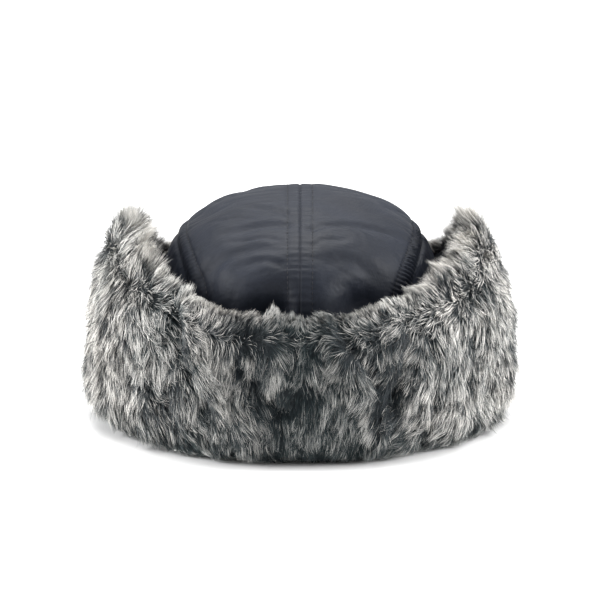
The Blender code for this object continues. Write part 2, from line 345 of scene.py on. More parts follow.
def add_bump(tree, height, strength, distance, normal=None):
    """A bump node, chained on another one if it is given."""
    inputs = {"Height": height, "Strength": strength, "Distance": distance}
    if normal:
        inputs["Normal"] = normal
    return add_node(tree, "ShaderNodeBump", inputs).outputs["Normal"]


WEAVE_SCALE = 0.314  # of a wave texture with bands one unit apart


def add_weave(tree, thread):
    """Height of a plain weave whose threads are the given width apart."""
    place = object_place(tree)
    waves = []
    for direction in ("X", "Y", "Z"):
        settings = {"wave_type": "BANDS", "bands_direction": direction, "wave_profile": "SIN"}
        inputs = {"Vector": place, "Scale": WEAVE_SCALE / thread, "Distortion": 0.4, "Detail Scale": 2.0}
        waves.append(add_node(tree, "ShaderNodeTexWave", inputs, **settings).outputs["Fac"])
    return add_math(tree, "MULTIPLY", add_math(tree, "MAXIMUM", waves[0], waves[1]), waves[2])


def nylon_material(name, dark, light):
    """Taffeta nylon: a fine weave, slanting crinkles, soft cloudy colour, and a satin shine."""
    material, tree, shader = new_material(
        name, dark, 0.50, Specular_IOR_Level=0.24, Sheen_Weight=0.03, Sheen_Roughness=0.40
    )
    shader.inputs["Sheen Tint"].default_value = (0.62, 0.68, 0.80, 1.0)
    clouds = add_math(tree, "MULTIPLY", add_noise(tree, scale=28.0, detail=4.0), 0.65)
    grain = add_math(tree, "MULTIPLY", add_noise(tree, scale=900.0, detail=2.0), 0.35)
    tone = add_math(tree, "ADD", clouds, grain)
    set_colour(tree, shader, tone, [(0.32, dark), (0.68, light)])
    set_roughness(tree, shader, tone, low=0.50, high=0.68)
    slant = {"Vector": object_place(tree), "Rotation": (0.0, 0.0, 0.5), "Scale": (0.35, 1.0, 0.8)}
    slanted = add_node(tree, "ShaderNodeMapping", slant).outputs["Vector"]
    crumple, crinkle = add_noise(tree, scale=260.0, detail=5.0), add_noise(tree, 75.0, 3.0, slanted)
    normal = add_bump(tree, add_weave(tree, thread=0.0007), strength=0.20, distance=0.0002)
    normal = add_bump(tree, crumple, 0.35, 0.0006, normal)
    normal = add_bump(tree, crinkle, 0.55, 0.0030, normal)
    tree.links.new(normal, shader.inputs["Normal"])
    return material


CLOTH_BUMP_SHARE = 0.4
CLOTH_ROUGHNESS_SPREAD = 0.08


def cloth_material(name, dark, light, roughness, thread, bump, sheen):
    """A matt woven cloth with a little colour variation."""
    material, tree, shader = new_material(name, dark, roughness, Sheen_Weight=sheen)
    tone = add_noise(tree, scale=120.0, detail=5.0)
    set_colour(tree, shader, tone, [(0.3, dark), (0.7, light)])
    set_roughness(tree, shader, tone, roughness - CLOTH_ROUGHNESS_SPREAD, roughness + CLOTH_ROUGHNESS_SPREAD)
    normal = add_bump(tree, add_weave(tree, thread), bump, thread * CLOTH_BUMP_SHARE)
    tree.links.new(normal, shader.inputs["Normal"])
    return material


def wadding_material():
    """Polyester wadding: white, cloudy and fluffy."""
    material, tree, shader = new_material("polyester_wadding", (0.8, 0.8, 0.78), 0.95, Sheen_Weight=0.6)
    fluff = add_noise(tree, scale=240.0, detail=6.0)
    set_colour(tree, shader, fluff, [(0.3, (0.62, 0.62, 0.60)), (0.7, (0.86, 0.86, 0.84))])
    tree.links.new(add_bump(tree, fluff, strength=0.8, distance=0.001), shader.inputs["Normal"])
    return material


def undercoat_material():
    """The dark, woolly undercoat that shows between the tufts."""
    material, tree, shader = new_material("fur_undercoat", (0.02, 0.03, 0.035), 0.9, Sheen_Weight=0.15)
    stretch = {"Vector": object_place(tree), "Scale": (1.0, 1.0, 0.22)}
    stretched = add_node(tree, "ShaderNodeMapping", stretch).outputs["Vector"]
    hairs = add_noise(tree, 620.0, 4.0, stretched)
    stops = [(0.35, (0.006, 0.009, 0.012)), (0.55, (0.014, 0.021, 0.024)), (0.75, (0.05, 0.06, 0.062))]
    set_colour(tree, shader, hairs, stops)
    tree.links.new(add_bump(tree, hairs, strength=1.0, distance=0.0015), shader.inputs["Normal"])
    return material


FUR_TONES = [
    (0.00, (0.006, 0.009, 0.013)),
    (0.25, (0.020, 0.027, 0.031)),
    (0.50, (0.135, 0.136, 0.136)),
    (0.75, (0.478, 0.460, 0.432)),
    (1.00, (0.868, 0.838, 0.788)),
]
FUR_TEAL = [
    (0.00, (0.006, 0.014, 0.016)),
    (0.25, (0.018, 0.038, 0.040)),
    (0.50, (0.122, 0.150, 0.148)),
    (0.75, (0.435, 0.460, 0.455)),
    (1.00, (0.790, 0.795, 0.772)),
]


MIX_FACTOR, MIX_A, MIX_B, MIX_RESULT = 0, 6, 7, 2  # a Mix node's sockets for colours


def strand_material():
    """Frosted fur: a strand's tone runs up its map's V, and U turns it from grey to teal."""
    material, tree, shader = new_material(
        "fur_strands", (0.4, 0.4, 0.4), 0.55, Specular_IOR_Level=0.22, Sheen_Weight=0.06, Sheen_Roughness=0.5
    )
    place = add_node(tree, "ShaderNodeUVMap", uv_map="OFBake").outputs["UV"]
    parts = add_node(tree, "ShaderNodeSeparateXYZ", {"Vector": place}).outputs
    mix = add_node(tree, "ShaderNodeMix", data_type="RGBA")
    tree.links.new(parts["X"], mix.inputs[MIX_FACTOR])
    tree.links.new(add_ramp(tree, parts["Y"], FUR_TONES), mix.inputs[MIX_A])
    tree.links.new(add_ramp(tree, parts["Y"], FUR_TEAL), mix.inputs[MIX_B])
    tree.links.new(mix.outputs[MIX_RESULT], shader.inputs["Base Color"])
    return material


def plastic_material():
    """Moulded acetal with a fine spark-eroded grain."""
    material, tree, shader = new_material("buckle_plastic", (0.010, 0.010, 0.012), 0.38)
    grain = add_noise(tree, scale=1400.0, detail=3.0)
    set_colour(tree, shader, grain, [(0.35, (0.008, 0.008, 0.010)), (0.7, (0.020, 0.020, 0.023))])
    set_roughness(tree, shader, grain, low=0.30, high=0.48)
    tree.links.new(add_bump(tree, grain, strength=0.25, distance=0.0001), shader.inputs["Normal"])
    return material


NYLONS = {
    # material, dark and light colour
    "nylon": ("crown_nylon", (0.005, 0.007, 0.0125), (0.012, 0.0155, 0.0255)),
    "flap_nylon": ("flap_nylon", (0.007, 0.009, 0.015), (0.017, 0.020, 0.030)),
}
CLOTHS = {
    # material, dark and light colour, roughness, distance between threads, bump, sheen
    "lining": ("quilted_lining", (0.020, 0.024, 0.034), (0.042, 0.048, 0.062), 0.55, 0.0006, 0.3, 0.3),
    "tape": ("seam_tape", (0.014, 0.016, 0.021), (0.028, 0.031, 0.038), 0.80, 0.0010, 0.5, 0.3),
    "sweatband": ("sweatband_cloth", (0.012, 0.014, 0.019), (0.026, 0.029, 0.037), 0.85, 0.0012, 0.5, 0.3),
    "webbing": ("strap_webbing", (0.010, 0.011, 0.014), (0.024, 0.026, 0.031), 0.75, 0.0016, 0.8, 0.3),
    "thread": ("sewing_thread", (0.004, 0.005, 0.008), (0.010, 0.012, 0.017), 0.70, 0.0004, 0.5, 0.0),
}


def make_materials():
    """Every material of the hat, by a short name."""
    made = {key: nylon_material(*look) for key, look in NYLONS.items()}
    made.update({key: cloth_material(*look) for key, look in CLOTHS.items()})
    made.update(wadding=wadding_material(), undercoat=undercoat_material())
    made.update(strands=strand_material(), plastic=plastic_material())
    return made


# ---- the crown's surface ----
# A centre panel's point is (share, run): share 0 at the centre seam and 1 at the side seam, and run
# -1 at the back hem, 0 on the hat's middle cross-section, and 1 at the front hem.

WALL_RUN = 0.42


def side_seam(along):
    """Share across of the seam between a centre panel and a side panel."""
    return SIDE_SEAM_AT_TOP - SIDE_SEAM_CURVE * along**2


def seam_reach(share, radius):
    """The share along at which a centre panel's line meets the oval of that radius."""
    low, high = np.zeros_like(share * radius), np.ones_like(share * radius) * radius
    for _ in range(40):
        middle = (low + high) / 2
        inside = (share * side_seam(middle)) ** 2 + middle**2 < radius**2
        low, high = np.where(inside, middle, low), np.where(inside, high, middle)
    return (low + high) / 2


def dome_along(share, run):
    """The share along of a point on a centre panel."""
    return seam_reach(share, 1.0) * ease(np.abs(run) / (1.0 - WALL_RUN))


def above_wall(z):
    """The share of the dome's height at which z lies."""
    return np.clip((z - WALL_HEIGHT) / DOME_HEIGHT, 0.0, 1.0)


def oval_radius(z):
    """Radius of the crown's oval at a height, as a share of its radius on the wall."""
    return (1.0 - above_wall(z) ** DOME_POWER) ** (1.0 / DOME_POWER)


def crown_place(across, along, z):
    """The undisplaced point and outward normal of the crown's outer face, from shares."""
    rise = np.minimum(z / WALL_HEIGHT, 1.0)
    half_width = CROWN_HALF_WIDTH - HEM_TAPER[0] * (1.0 - rise)
    half_depth = CROWN_HALF_DEPTH - HEM_TAPER[1] * (1.0 - rise)
    point = np.stack([across * half_width, along * half_depth, z], -1)
    flat = np.maximum(np.hypot(across, along), 1e-6) ** (DOME_POWER - 2.0)
    upright = above_wall(z) ** (DOME_POWER - 1.0) / DOME_HEIGHT
    return point, unit(np.stack([flat * across / half_width, flat * along / half_depth, upright], -1))


def dome_height(across, along):
    """Height of the outer face over a point of its plan."""
    radius = np.minimum(np.hypot(across, along), 1.0)
    return WALL_HEIGHT + DOME_HEIGHT * (1.0 - radius**DOME_POWER) ** (1.0 / DOME_POWER)


GATHER_STRETCH = 0.3
GATHER_WANDER, GATHER_WANDER_SIZE = 1.6, 2.5  # in radians, and in periods


def pucker(distance, along, length, period, depth, seed):
    """Small gathers that a line of stitches pulls into the cloth beside it."""
    where = np.stack([along, distance * GATHER_STRETCH, np.full_like(along, seed)], -1)
    phase = along / period * TURN + GATHER_WANDER * noise(where, period * GATHER_WANDER_SIZE, seed)
    return depth * bell(distance, 0.0, length) * (0.5 - 0.5 * np.cos(phase))


CREASES = [
    # start and end in plan (x, y), width, depth: folds in the nylon
    ((-0.002, 0.066), (-0.072, 0.036), 0.0034, 0.0014),
    ((-0.018, 0.060), (-0.058, 0.050), 0.0022, 0.0007),
    ((0.004, 0.060), (0.050, 0.052), 0.0040, 0.0012),
    ((0.012, 0.084), (0.066, 0.070), 0.0040, 0.0012),
    ((0.010, 0.076), (0.046, 0.062), 0.0020, 0.0007),
    ((0.010, 0.094), (0.040, 0.084), 0.0022, 0.0007),
    ((0.006, 0.046), (0.034, 0.020), 0.0034, 0.0010),
    ((0.030, 0.044), (0.056, 0.030), 0.0020, 0.0006),
    ((-0.014, 0.092), (-0.052, 0.080), 0.0040, 0.0012),
    ((-0.008, 0.080), (-0.030, 0.070), 0.0020, 0.0006),
    ((-0.050, -0.010), (-0.012, -0.044), 0.0040, 0.0009),
    ((0.055, -0.020), (0.020, -0.062), 0.0040, 0.0009),
    ((-0.030, -0.070), (-0.058, -0.060), 0.0040, 0.0010),
]
DENTS = [
    # centre (x, y, z), radius and depth: shallow hollows where the cloth sags
    ((-0.044, 0.098, 0.092), 0.021, 0.0130),
    ((0.018, 0.110, 0.084), 0.019, 0.0100),
    ((0.062, 0.082, 0.096), 0.016, 0.0030),
    ((0.034, 0.066, 0.132), 0.020, 0.0022),
    ((-0.048, 0.050, 0.131), 0.018, 0.0016),
    ((0.060, 0.004, 0.137), 0.016, 0.0026),
    ((-0.066, -0.004, 0.134), 0.014, 0.0020),
    ((-0.040, -0.080, 0.112), 0.024, 0.0034),
    ((0.045, -0.085, 0.105), 0.022, 0.0034),
]
SOFT_WAVES = ((0.0009, 0.034, 3), (0.0004, 0.013, 5))  # depth, size and seed
WRINKLE_DEPTH, WRINKLE_SIZE, WRINKLE_STRETCH = 0.0005, 0.016, (0.6, 1.5, 1.0)
CREASE_STRENGTH = 1.3
CREASE_BEND = 0.006
CREASE_ROLL = (0.35, 1.7)  # height and distance of the soft roll beside a fold, as shares of it
STIFF_AT_CENTRE, STIFF_WIDTH_CENTRE = 0.35, 0.012  # share of the folds left at a seam, and its reach
STIFF_AT_SIDE, STIFF_WIDTH_SIDE = 0.4, 0.010
HEM_HOLD = (0.004, 0.020)  # below and above the sweatband's edge, where the folds fade out


def crown_sag(point):
    """How far the cloth lies under the crown's ideal face: folds, dents and soft waves."""
    sag = sum(depth * (1.0 + noise(point, size, seed)) for depth, size, seed in SOFT_WAVES)
    wrinkle = 1.0 - np.abs(noise(point * np.array(WRINKLE_STRETCH), WRINKLE_SIZE, 7))
    sag = sag + WRINKLE_DEPTH * wrinkle**4
    on_top = smooth(WALL_HEIGHT + 0.005, WALL_HEIGHT + 0.025, point[..., 2])
    for start, end, width, depth in CREASES:
        start, end = np.array(start), np.array(end)
        course = end - start
        share = np.clip((point[..., :2] - start) @ course / (course @ course), 0.0, 1.0)
        offset = point[..., :2] - start - share[..., None] * course
        bend = CREASE_BEND * np.sin(share * 5.0)
        away = np.hypot(offset[..., 0], offset[..., 1] + bend * (1.0 - share) * share)
        taper = np.sin(math.pi * np.clip(share * 0.96 + 0.02, 0.0, 1.0)) ** 0.5
        fold = bell(away, 0.0, width) - CREASE_ROLL[0] * bell(away, width * CREASE_ROLL[1], width)
        sag = sag + CREASE_STRENGTH * on_top * taper * depth * fold
    for centre, radius, depth in DENTS:
        sag = sag + depth * bell(np.linalg.norm(point - np.array(centre), axis=-1), 0.0, radius)
    return sag


STITCH_OFFSET = 0.0080
SIDE_STITCH_OFFSET = 0.0062
SEAM_LEVEL = 0.0014
SIDE_SEAM_DIP = 0.0012
# distance from the seam, width and depth of the dips at a seam and its stitches; below zero is a roll
CENTRE_DIPS = ((0.0, 0.0008, 0.0007), (STITCH_OFFSET, 0.0009, 0.0003))
SIDE_DIPS = ((0.0, 0.0012, SIDE_SEAM_DIP), (0.0030, 0.0018, -0.0005), (SIDE_STITCH_OFFSET, 0.0009, 0.0006))
# distance from the seam, length, period, depth and seed of the gathers beside the centre seam
CENTRE_GATHERS = (
    (STITCH_OFFSET * 0.4, 0.0065, 0.0078, 0.0004, 11),
    (STITCH_OFFSET, 0.0040, 0.0046, 0.0003, 13),
)
LADDER_DEPTH = {1: 0.0002, -1: 0.0014}  # of the gathers at the left and the right side seam
LADDER_SEED = 23


def seam_course(point, steepness=1.0):
    """Distance along a seam that runs over the top and down to the hem."""
    return point[..., 1] - steepness * point[..., 2] * np.sign(point[..., 1])


def seam_sag(away, course, dips, gathers):
    """The dips at a seam and its stitches, and the gathers beside them."""
    sag = sum(depth * bell(away, middle, width) for middle, width, depth in dips)
    for middle, length, period, depth, seed in gathers:
        sag = sag + pucker(away - middle, course, length, period, depth, seed)
    return sag


def centre_seam_sag(point):
    """The dip at the centre seam, and the puckers and grooves at its two rows of stitches."""
    return seam_sag(np.abs(point[..., 0]), seam_course(point, 1.2), CENTRE_DIPS, CENTRE_GATHERS)


def side_seam_sag(away, course, side):
    """The dip at a side seam, with the ladder of puckers between the seam and its stitches."""
    ladder = (0.6 * SIDE_STITCH_OFFSET, 0.0032, 0.0045, LADDER_DEPTH[side], LADDER_SEED)
    return seam_sag(away, course, SIDE_DIPS, [ladder])


def centre_panel_place(share, run, side):
    """Point and normal on a centre panel's outer face, with its folds and seams."""
    along = dome_along(share, run)
    across = share * side_seam(along)
    wall = np.clip((np.abs(run) - (1.0 - WALL_RUN)) / WALL_RUN, 0.0, 1.0)
    z = np.where(wall > 0, WALL_HEIGHT - (WALL_HEIGHT - LAYERS_START) * wall, dome_height(across, along))
    point, normal = crown_place(side * across, -np.sign(run) * along, z)
    away = (1.0 - share) * side_seam(along) * CROWN_HALF_WIDTH
    sag = settled(point, away) + centre_seam_sag(point)
    sag = sag + side_seam_sag(away, seam_course(point), side)
    return point, normal, sag * above_band(point)


def settled(point, away):
    """The crown's sag where folds fade at the seams, whose doubled cloth is stiffer."""
    at_centre = partly(STIFF_AT_CENTRE, smooth(0.0, STIFF_WIDTH_CENTRE, np.abs(point[..., 0])))
    clear = at_centre * partly(STIFF_AT_SIDE, smooth(0.0, STIFF_WIDTH_SIDE, away))
    return crown_sag(point) * clear + SEAM_LEVEL * (1.0 - clear)


def above_band(point):
    """The cloth lies flat at the hem, where the sweatband holds it."""
    return smooth(SWEATBAND_TOP - HEM_HOLD[0], SWEATBAND_TOP + HEM_HOLD[1], point[..., 2])


def side_panel_place(share, height, side):
    """Point and normal on a side panel: share -1 to 1 along, height 0 at the hem and 1 at its top."""
    top = float(dome_height(np.array(SIDE_SEAM_AT_TOP), np.array(0.0)))
    z = LAYERS_START + (top - LAYERS_START) * ease(height)
    radius = oval_radius(z)
    reach = np.where(height < 1.0, seam_reach(np.ones_like(height), radius), 0.0)
    along = reach * share
    across = np.sqrt(np.maximum(radius**2 - along**2, 0.0))
    point, normal = crown_place(side * across, along, z)
    away = (across - side_seam(along)) * CROWN_HALF_WIDTH
    sag = settled(point, away) + SIDE_SEAM_DIP * bell(away, 0.0, 0.0012)
    sag = sag + pucker(away, seam_course(point), 0.0050, 0.0042, 0.5 * LADDER_DEPTH[side], LADDER_SEED)
    return point, normal, sag * above_band(point)


def panel_object(name, place, u, v, side, layer, material, puff=None):
    """A closed slab that follows a panel's face between two depths."""
    share, run = np.meshgrid(u, v, indexing="ij")
    point, normal, sag = place(share, run, side)
    extra = puff(point) if puff else 0.0
    inner = under(point, normal, sag + layer[1] + extra)
    return slab_object(name, inner, under(point, normal, sag + layer[0]), material)


CENTRE_SHARES = 1.0 - np.concatenate(
    [np.linspace(1.0, 0.9, 13), np.linspace(0.9, 0.16, 46)[1:], np.linspace(0.16, 0.0, 26)[1:]]
)
CENTRE_RUNS = np.linspace(-1.0, 1.0, 321)
SIDE_SHARES = np.linspace(-1.0, 1.0, 141)
SIDE_HEIGHTS = np.linspace(0.0, 1.0, 61)
COARSE = 3
QUILT_SPACING = 0.034
QUILT_PUFF = 0.0022
QUILT_CLEAR = (0.002, 0.016)  # above the sweatband, where the puffs begin
QUILT_SLANT = 0.7


def quilting(point):
    """How far the quilted lining stands into the hat between its diagonal seams."""
    course = point[..., 1] + QUILT_SLANT * np.abs(point[..., 0])
    a = np.abs(np.sin(math.pi * (course + point[..., 2]) / QUILT_SPACING))
    b = np.abs(np.sin(math.pi * (course - point[..., 2]) / QUILT_SPACING))
    clear = smooth(SWEATBAND_TOP + QUILT_CLEAR[0], SWEATBAND_TOP + QUILT_CLEAR[1], point[..., 2])
    return QUILT_PUFF * np.sqrt(a * b) * clear


def declare_panel(obj, node):
    """Makes a crown panel ride on the crown, and hides the CAD node that it replaces."""
    attach(obj, "crown", node)


CENTRE_PANEL_CUT = (0.088, 0.438)
CENTRE_PANEL_AREA = 0.0325
SIDE_PANEL_CUT = (0.215, 0.115)
SIDE_PANEL_AREA = 0.0172


def make_crown_panels(materials):
    """Nylon shell, wadding and quilted lining, in the same four panels."""
    parts = (
        ("panel", centre_panel_place, CENTRE_SHARES, CENTRE_RUNS, CENTRE_PANEL_CUT, CENTRE_PANEL_AREA),
        ("side", side_panel_place, SIDE_SHARES, SIDE_HEIGHTS, SIDE_PANEL_CUT, SIDE_PANEL_AREA),
    )
    shell_nodes = {"panel": "crown_panel", "side": "side_panel"}
    for word, side in (("left", 1), ("right", -1)):
        for kind, place, u, v, cut, area in parts:
            fine, coarse = (place, u, v, side), (place, u[::COARSE], v[::COARSE], side)
            own = f"{kind}_{word}"
            shell = panel_object(f"nylon_{own}", *fine, SHELL_LAYER, materials["nylon"])
            declare_panel(shell, f"{shell_nodes[kind]}_{word}")
            wadding = panel_object(f"wadding_batt_{own}", *coarse, WADDING_LAYER, materials["wadding"])
            attach(wadding, "crown", f"wadding_{own}")
            cloth = materials["lining"]
            lining = panel_object(f"quilted_lining_{own}", *coarse, LINING_LAYER, cloth, quilting)
            declare_panel(lining, f"lining_{own}")


def stitch_row(centres, directions, normals, length, radius, lift):
    """Arrays of short stitches, each a thread that dips into the cloth at its ends."""
    steps, sides = 7, 6
    t = np.linspace(-1.0, 1.0, steps)
    radii = radius * np.sqrt(np.maximum(1.0 - t**4, 0.02))
    points, quads = [], []
    base = cells(sides, steps, 0, True)
    for centre, direction, normal in zip(centres, directions, normals):
        rise = np.outer(lift * (1.0 - t**2) - radius * 0.3, normal)
        path = centre + np.outer(t * length / 2, direction) + rise
        sideways, ups = (np.repeat(way[None], steps, 0) for way in (np.cross(direction, normal), normal))
        quads.append(base + sides * steps * len(points))
        points.append(tube_rings(path, sideways, ups, radii, sides).transpose(1, 0, 2).reshape(-1, 3))
    return np.concatenate(points), np.concatenate(quads)


def cap_ends(obj):
    """Closes the open ends of a tube."""
    shape = bmesh.new()
    shape.from_mesh(obj.data)
    bmesh.ops.holes_fill(shape, edges=[e for e in shape.edges if e.is_boundary], sides=0)
    bmesh.ops.recalc_face_normals(shape, faces=shape.faces)
    shape.to_mesh(obj.data)
    shape.free()


def spaced(points, normals, pitch):
    """Places along a path of points at equal distances, with their courses and normals."""
    steps = np.linalg.norm(np.diff(points, axis=0), axis=1)
    travel = np.concatenate([[0.0], np.cumsum(steps)])
    at = np.arange(pitch / 2, travel[-1], pitch)

    def read(values, at):
        return np.stack([np.interp(at, travel, values[:, i]) for i in range(3)], -1)

    course = unit(read(points, at + pitch * 0.25) - read(points, at - pitch * 0.25))
    return read(points, at), course, unit(read(normals, at))


CROWN_STITCH = (0.0024, 0.0033, 0.00024)  # length, pitch and radius of a stitch
STRAP_STITCH = (0.0018, 0.0026, 0.0002)


def add_stitches(name, rows, material, stitch, body):
    """One object of all the stitches along several rows of (points, normals)."""
    length, pitch, radius = stitch
    points, quads, count = [], [], 0
    for path, normals in rows:
        made, faces = stitch_row(*spaced(path, normals, pitch), length, radius, radius * 1.1)
        points.append(made)
        quads.append(faces + count)
        count += len(made)
    obj = closed_object(name, np.concatenate(points), np.concatenate(quads), material)
    cap_ends(obj)
    attach(obj, body)


def seam_row(guess, offset, from_side, side):
    """Path of the stitches at a distance from the centre seam or the side seam, and its normals."""
    run = np.linspace(-0.995, 0.995, 700)
    share = np.full_like(run, guess)
    for _ in range(4):
        share = offset / (CROWN_HALF_WIDTH * side_seam(dome_along(share, run)))
        share = 1.0 - share if from_side else share
    point, normal, sag = centre_panel_place(share, run, side)
    return under(point, normal, sag), normal


def make_crown_stitches(materials):
    """A row on each side of the centre seam, and one beside each side seam."""
    rows = []
    for side in (1, -1):
        guess = STITCH_OFFSET / CROWN_HALF_WIDTH / SIDE_SEAM_AT_TOP
        rows.append(seam_row(guess, STITCH_OFFSET, False, side))
        rows.append(seam_row(0.95, SIDE_STITCH_OFFSET, True, side))
    add_stitches("crown_topstitching", rows, materials["thread"], CROWN_STITCH, "crown")


TAPE_CUT = (0.018, 0.438)
TAPE_SETTLING = 0.0004
RIB_DEPTH, RIB_SPACING = 0.00025, 0.0022
BAND_WAVE = (0.0003, 0.02, 9)  # depth, size and seed
BINDING_SQUARENESS = (0.45, 0.8)  # powers of the roll's section: below 1 is squarer than an oval
BINDING_RIPPLES, BINDING_RIPPLE_DEPTH = 90.0, 0.05
BINDING_CLEARANCE = 0.0002


def make_tape(materials):
    """The tape under the centre seam."""
    share = np.linspace(-TAPE_CUT[0] / 2, TAPE_CUT[0] / 2, 13) / CROWN_HALF_WIDTH / SIDE_SEAM_AT_TOP
    both, run = np.meshgrid(share, CENTRE_RUNS[::2], indexing="ij")
    point, normal, sag = centre_panel_place(np.abs(both), run, 1)
    point[..., 0] *= np.sign(both)
    normal[..., 0] *= np.sign(both)
    sag = sag - centre_seam_sag(point) + TAPE_SETTLING
    near, far = under(point, normal, sag + TAPE_LAYER[1]), under(point, normal, sag + TAPE_LAYER[0])
    tape = slab_object("centre_tape", near, far, materials["tape"])
    attach(tape, "crown", "centre_seam_tape")


def make_sweatband(materials):
    """A ribbed band round the inside of the hem."""
    turn = np.linspace(0.0, TURN, 220, endpoint=False)
    turn, z = np.meshgrid(turn, np.linspace(LAYERS_START, SWEATBAND_TOP, 46), indexing="ij")
    point, normal = crown_place(np.cos(turn), np.sin(turn), z)
    ribs = RIB_DEPTH * np.sin(z / RIB_SPACING * TURN) + waves(point, BAND_WAVE)
    inner, outer = (under(point, normal, depth + ribs) for depth in SWEATBAND_LAYER[::-1])
    band = slab_object("ribbed_sweatband", inner, outer, materials["sweatband"], ring=True)
    attach(band, "crown", "sweatband")


def make_binding(materials):
    """The rolled binding that closes the hem."""
    columns, sides = 260, 20
    turn = np.linspace(0.0, TURN, columns, endpoint=False)
    middle, half = (BINDING_LAYER[0] + BINDING_LAYER[1]) / 2, (BINDING_LAYER[1] - BINDING_LAYER[0]) / 2
    point, normal = crown_place(np.cos(turn), np.sin(turn), np.full_like(turn, BINDING_TOP / 2))
    around = np.linspace(0.0, TURN, sides, endpoint=False)
    width, height = (
        np.sign(swing) * np.abs(swing) ** power
        for swing, power in zip((np.cos(around), np.sin(around)), BINDING_SQUARENESS)
    )
    width, height = width * (half - BINDING_CLEARANCE), height * BINDING_TOP / 2
    ripple = 1.0 - BINDING_RIPPLE_DEPTH * (0.5 + 0.5 * np.cos(turn * BINDING_RIPPLES))
    section = point[:, None, :] - normal[:, None, :] * (middle - width[None, :, None])
    section = section + UPRIGHT * (height[None, :] * ripple[:, None])[..., None]
    here = np.arange(columns) * sides
    there = np.roll(here, -1)
    wrap = np.stack([here + sides - 1, there + sides - 1, there, here], -1)
    quads = np.concatenate([cells(columns, sides, 0, True), wrap])
    binding = closed_object("rolled_binding", section.reshape(-1, 3), quads, materials["tape"])
    attach(binding, "crown", "hem_binding")


# ---- the flaps ----


def ear_height(angle):
    """Height of an ear flap's edge: a rounded tip above the ear, steeper on its front side."""
    share = np.clip(angle / SPLIT_ANGLE, -1.0, 1.0)
    hump = 0.5 + 0.5 * np.cos(math.pi * share)
    behind = EAR_BACK_HEIGHT + (EAR_TIP_HEIGHT - EAR_BACK_HEIGHT) * hump
    ahead = EAR_FRONT_HEIGHT + (EAR_TIP_HEIGHT - EAR_FRONT_HEIGHT) * hump**EAR_FRONT_POWER
    return np.where(share > 0, behind, ahead)


def neck_height(angle):
    """Height of the neck flap's edge: lowest at the middle of the back."""
    return NECK_HEIGHT + (EAR_BACK_HEIGHT - NECK_HEIGHT) * ((angle - 90.0) / (90.0 - SPLIT_ANGLE)) ** 2


def front_height(angle):
    """Height of the front flap's edge: level, with rounded corners."""
    return FRONT_HEIGHT - FRONT_CORNER_DROP * ((angle + 90.0) / (90.0 - SPLIT_ANGLE)) ** 4


FLAPS = {
    # middle angle, half angle, edge height, body, seed
    "neck_flap": (90.0, 90.0 - SPLIT_ANGLE - SPLIT_GAP, neck_height, "neck_flap", 1),
    "ear_flap_left": (0.0, SPLIT_ANGLE - SPLIT_GAP, ear_height, "ear_flap_left", 2),
    "ear_flap_right": (180.0, SPLIT_ANGLE - SPLIT_GAP, lambda a: ear_height(180.0 - a), "ear_flap_right", 3),
    "front_flap": (-90.0, 90.0 - SPLIT_ANGLE - SPLIT_GAP, front_height, "crown", 4),
}
WADDING_INSET = 0.003
FLAP_GRID, WADDING_GRID = (121, 61), (61, 31)
FLAP_WAVE = (0.0002, 0.020, 31)  # depth, size and seed


def flap_place(angle, z, out_x, out_y):
    """A point outside the flap's nylon face."""
    turn = np.radians(angle)
    x = (FOLD_HALF_WIDTH + FLAP_LEAN * z + out_x) * np.cos(turn)
    y = (FOLD_HALF_DEPTH + FLAP_LEAN * z + out_y) * np.sin(turn)
    return np.stack([x, y, z + np.zeros_like(x)], -1)


def flap_wave(angle, z):
    """Soft waves that all the layers of a flap share."""
    place = np.stack([angle * 0.002, z, z * 0.0], -1)
    return waves(place, FLAP_WAVE) - FLAP_WAVE[0] / 2


PILE_PEAK = 0.30  # share of the height at which the pile is deepest
PILE_END = 12.0  # degrees from a flap's end within which the pile thins


def pile_share(height_share, from_end):
    """Pile depth as a share of the full pile."""
    low = 0.90 + 0.10 * ease(height_share / PILE_PEAK)
    high = 1.0 - 0.72 * np.clip((height_share - PILE_PEAK) / (1.0 - PILE_PEAK), 0.0, 1.0) ** 2.2
    ends = 0.85 + 0.15 * ease(from_end / PILE_END)
    return np.where(height_share < PILE_PEAK, low, high) * ends


def flap_grid(flap, columns, rows, out, inset=0.0, raised=0.0):
    """A grid of points over a flap, out(angle, share, from_end, z) from its nylon face."""
    middle, half, edge_height = FLAPS[flap][:3]
    half = half - math.degrees(inset / FOLD_HALF_WIDTH)
    angle = np.linspace(middle - half, middle + half, columns)
    angle, share = np.meshgrid(angle, np.linspace(0.0, 1.0, rows), indexing="ij")
    z = FLAP_START + raised + inset + share * (edge_height(angle) - FLAP_START - raised - 2 * inset)
    out_x, out_y = out(angle, share, half - np.abs(angle - middle), z)
    return flap_place(angle, z, out_x, out_y)


def flap_slab(name, flap, layer, columns, rows, material, inset=0.0, turned=0.0):
    """A closed layer of a flap, with the flap's soft waves; its edges may be turned in."""

    def face(out, turned):
        def placed(angle, share, from_end, z):
            at_edge = (from_end < 0.1) | (share > 0.999) | (share < 0.001)
            depth = out + turned * at_edge + flap_wave(angle, z)
            return depth, depth

        return placed

    near = flap_grid(flap, columns, rows, face(layer[0], 0.0), inset)
    far = flap_grid(flap, columns, rows, face(layer[1], turned), inset)
    return slab_object(name, near, far, material)


def hang(obj, flap, node=None):
    """Makes a front-flap piece ride on the crown, bakes any other piece's place into its mesh, and hides the
    CAD node that it replaces.
    """
    body = FLAPS[flap][3]
    if body == "crown":
        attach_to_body(obj, "crown")
    else:
        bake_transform(obj)
    label(node)


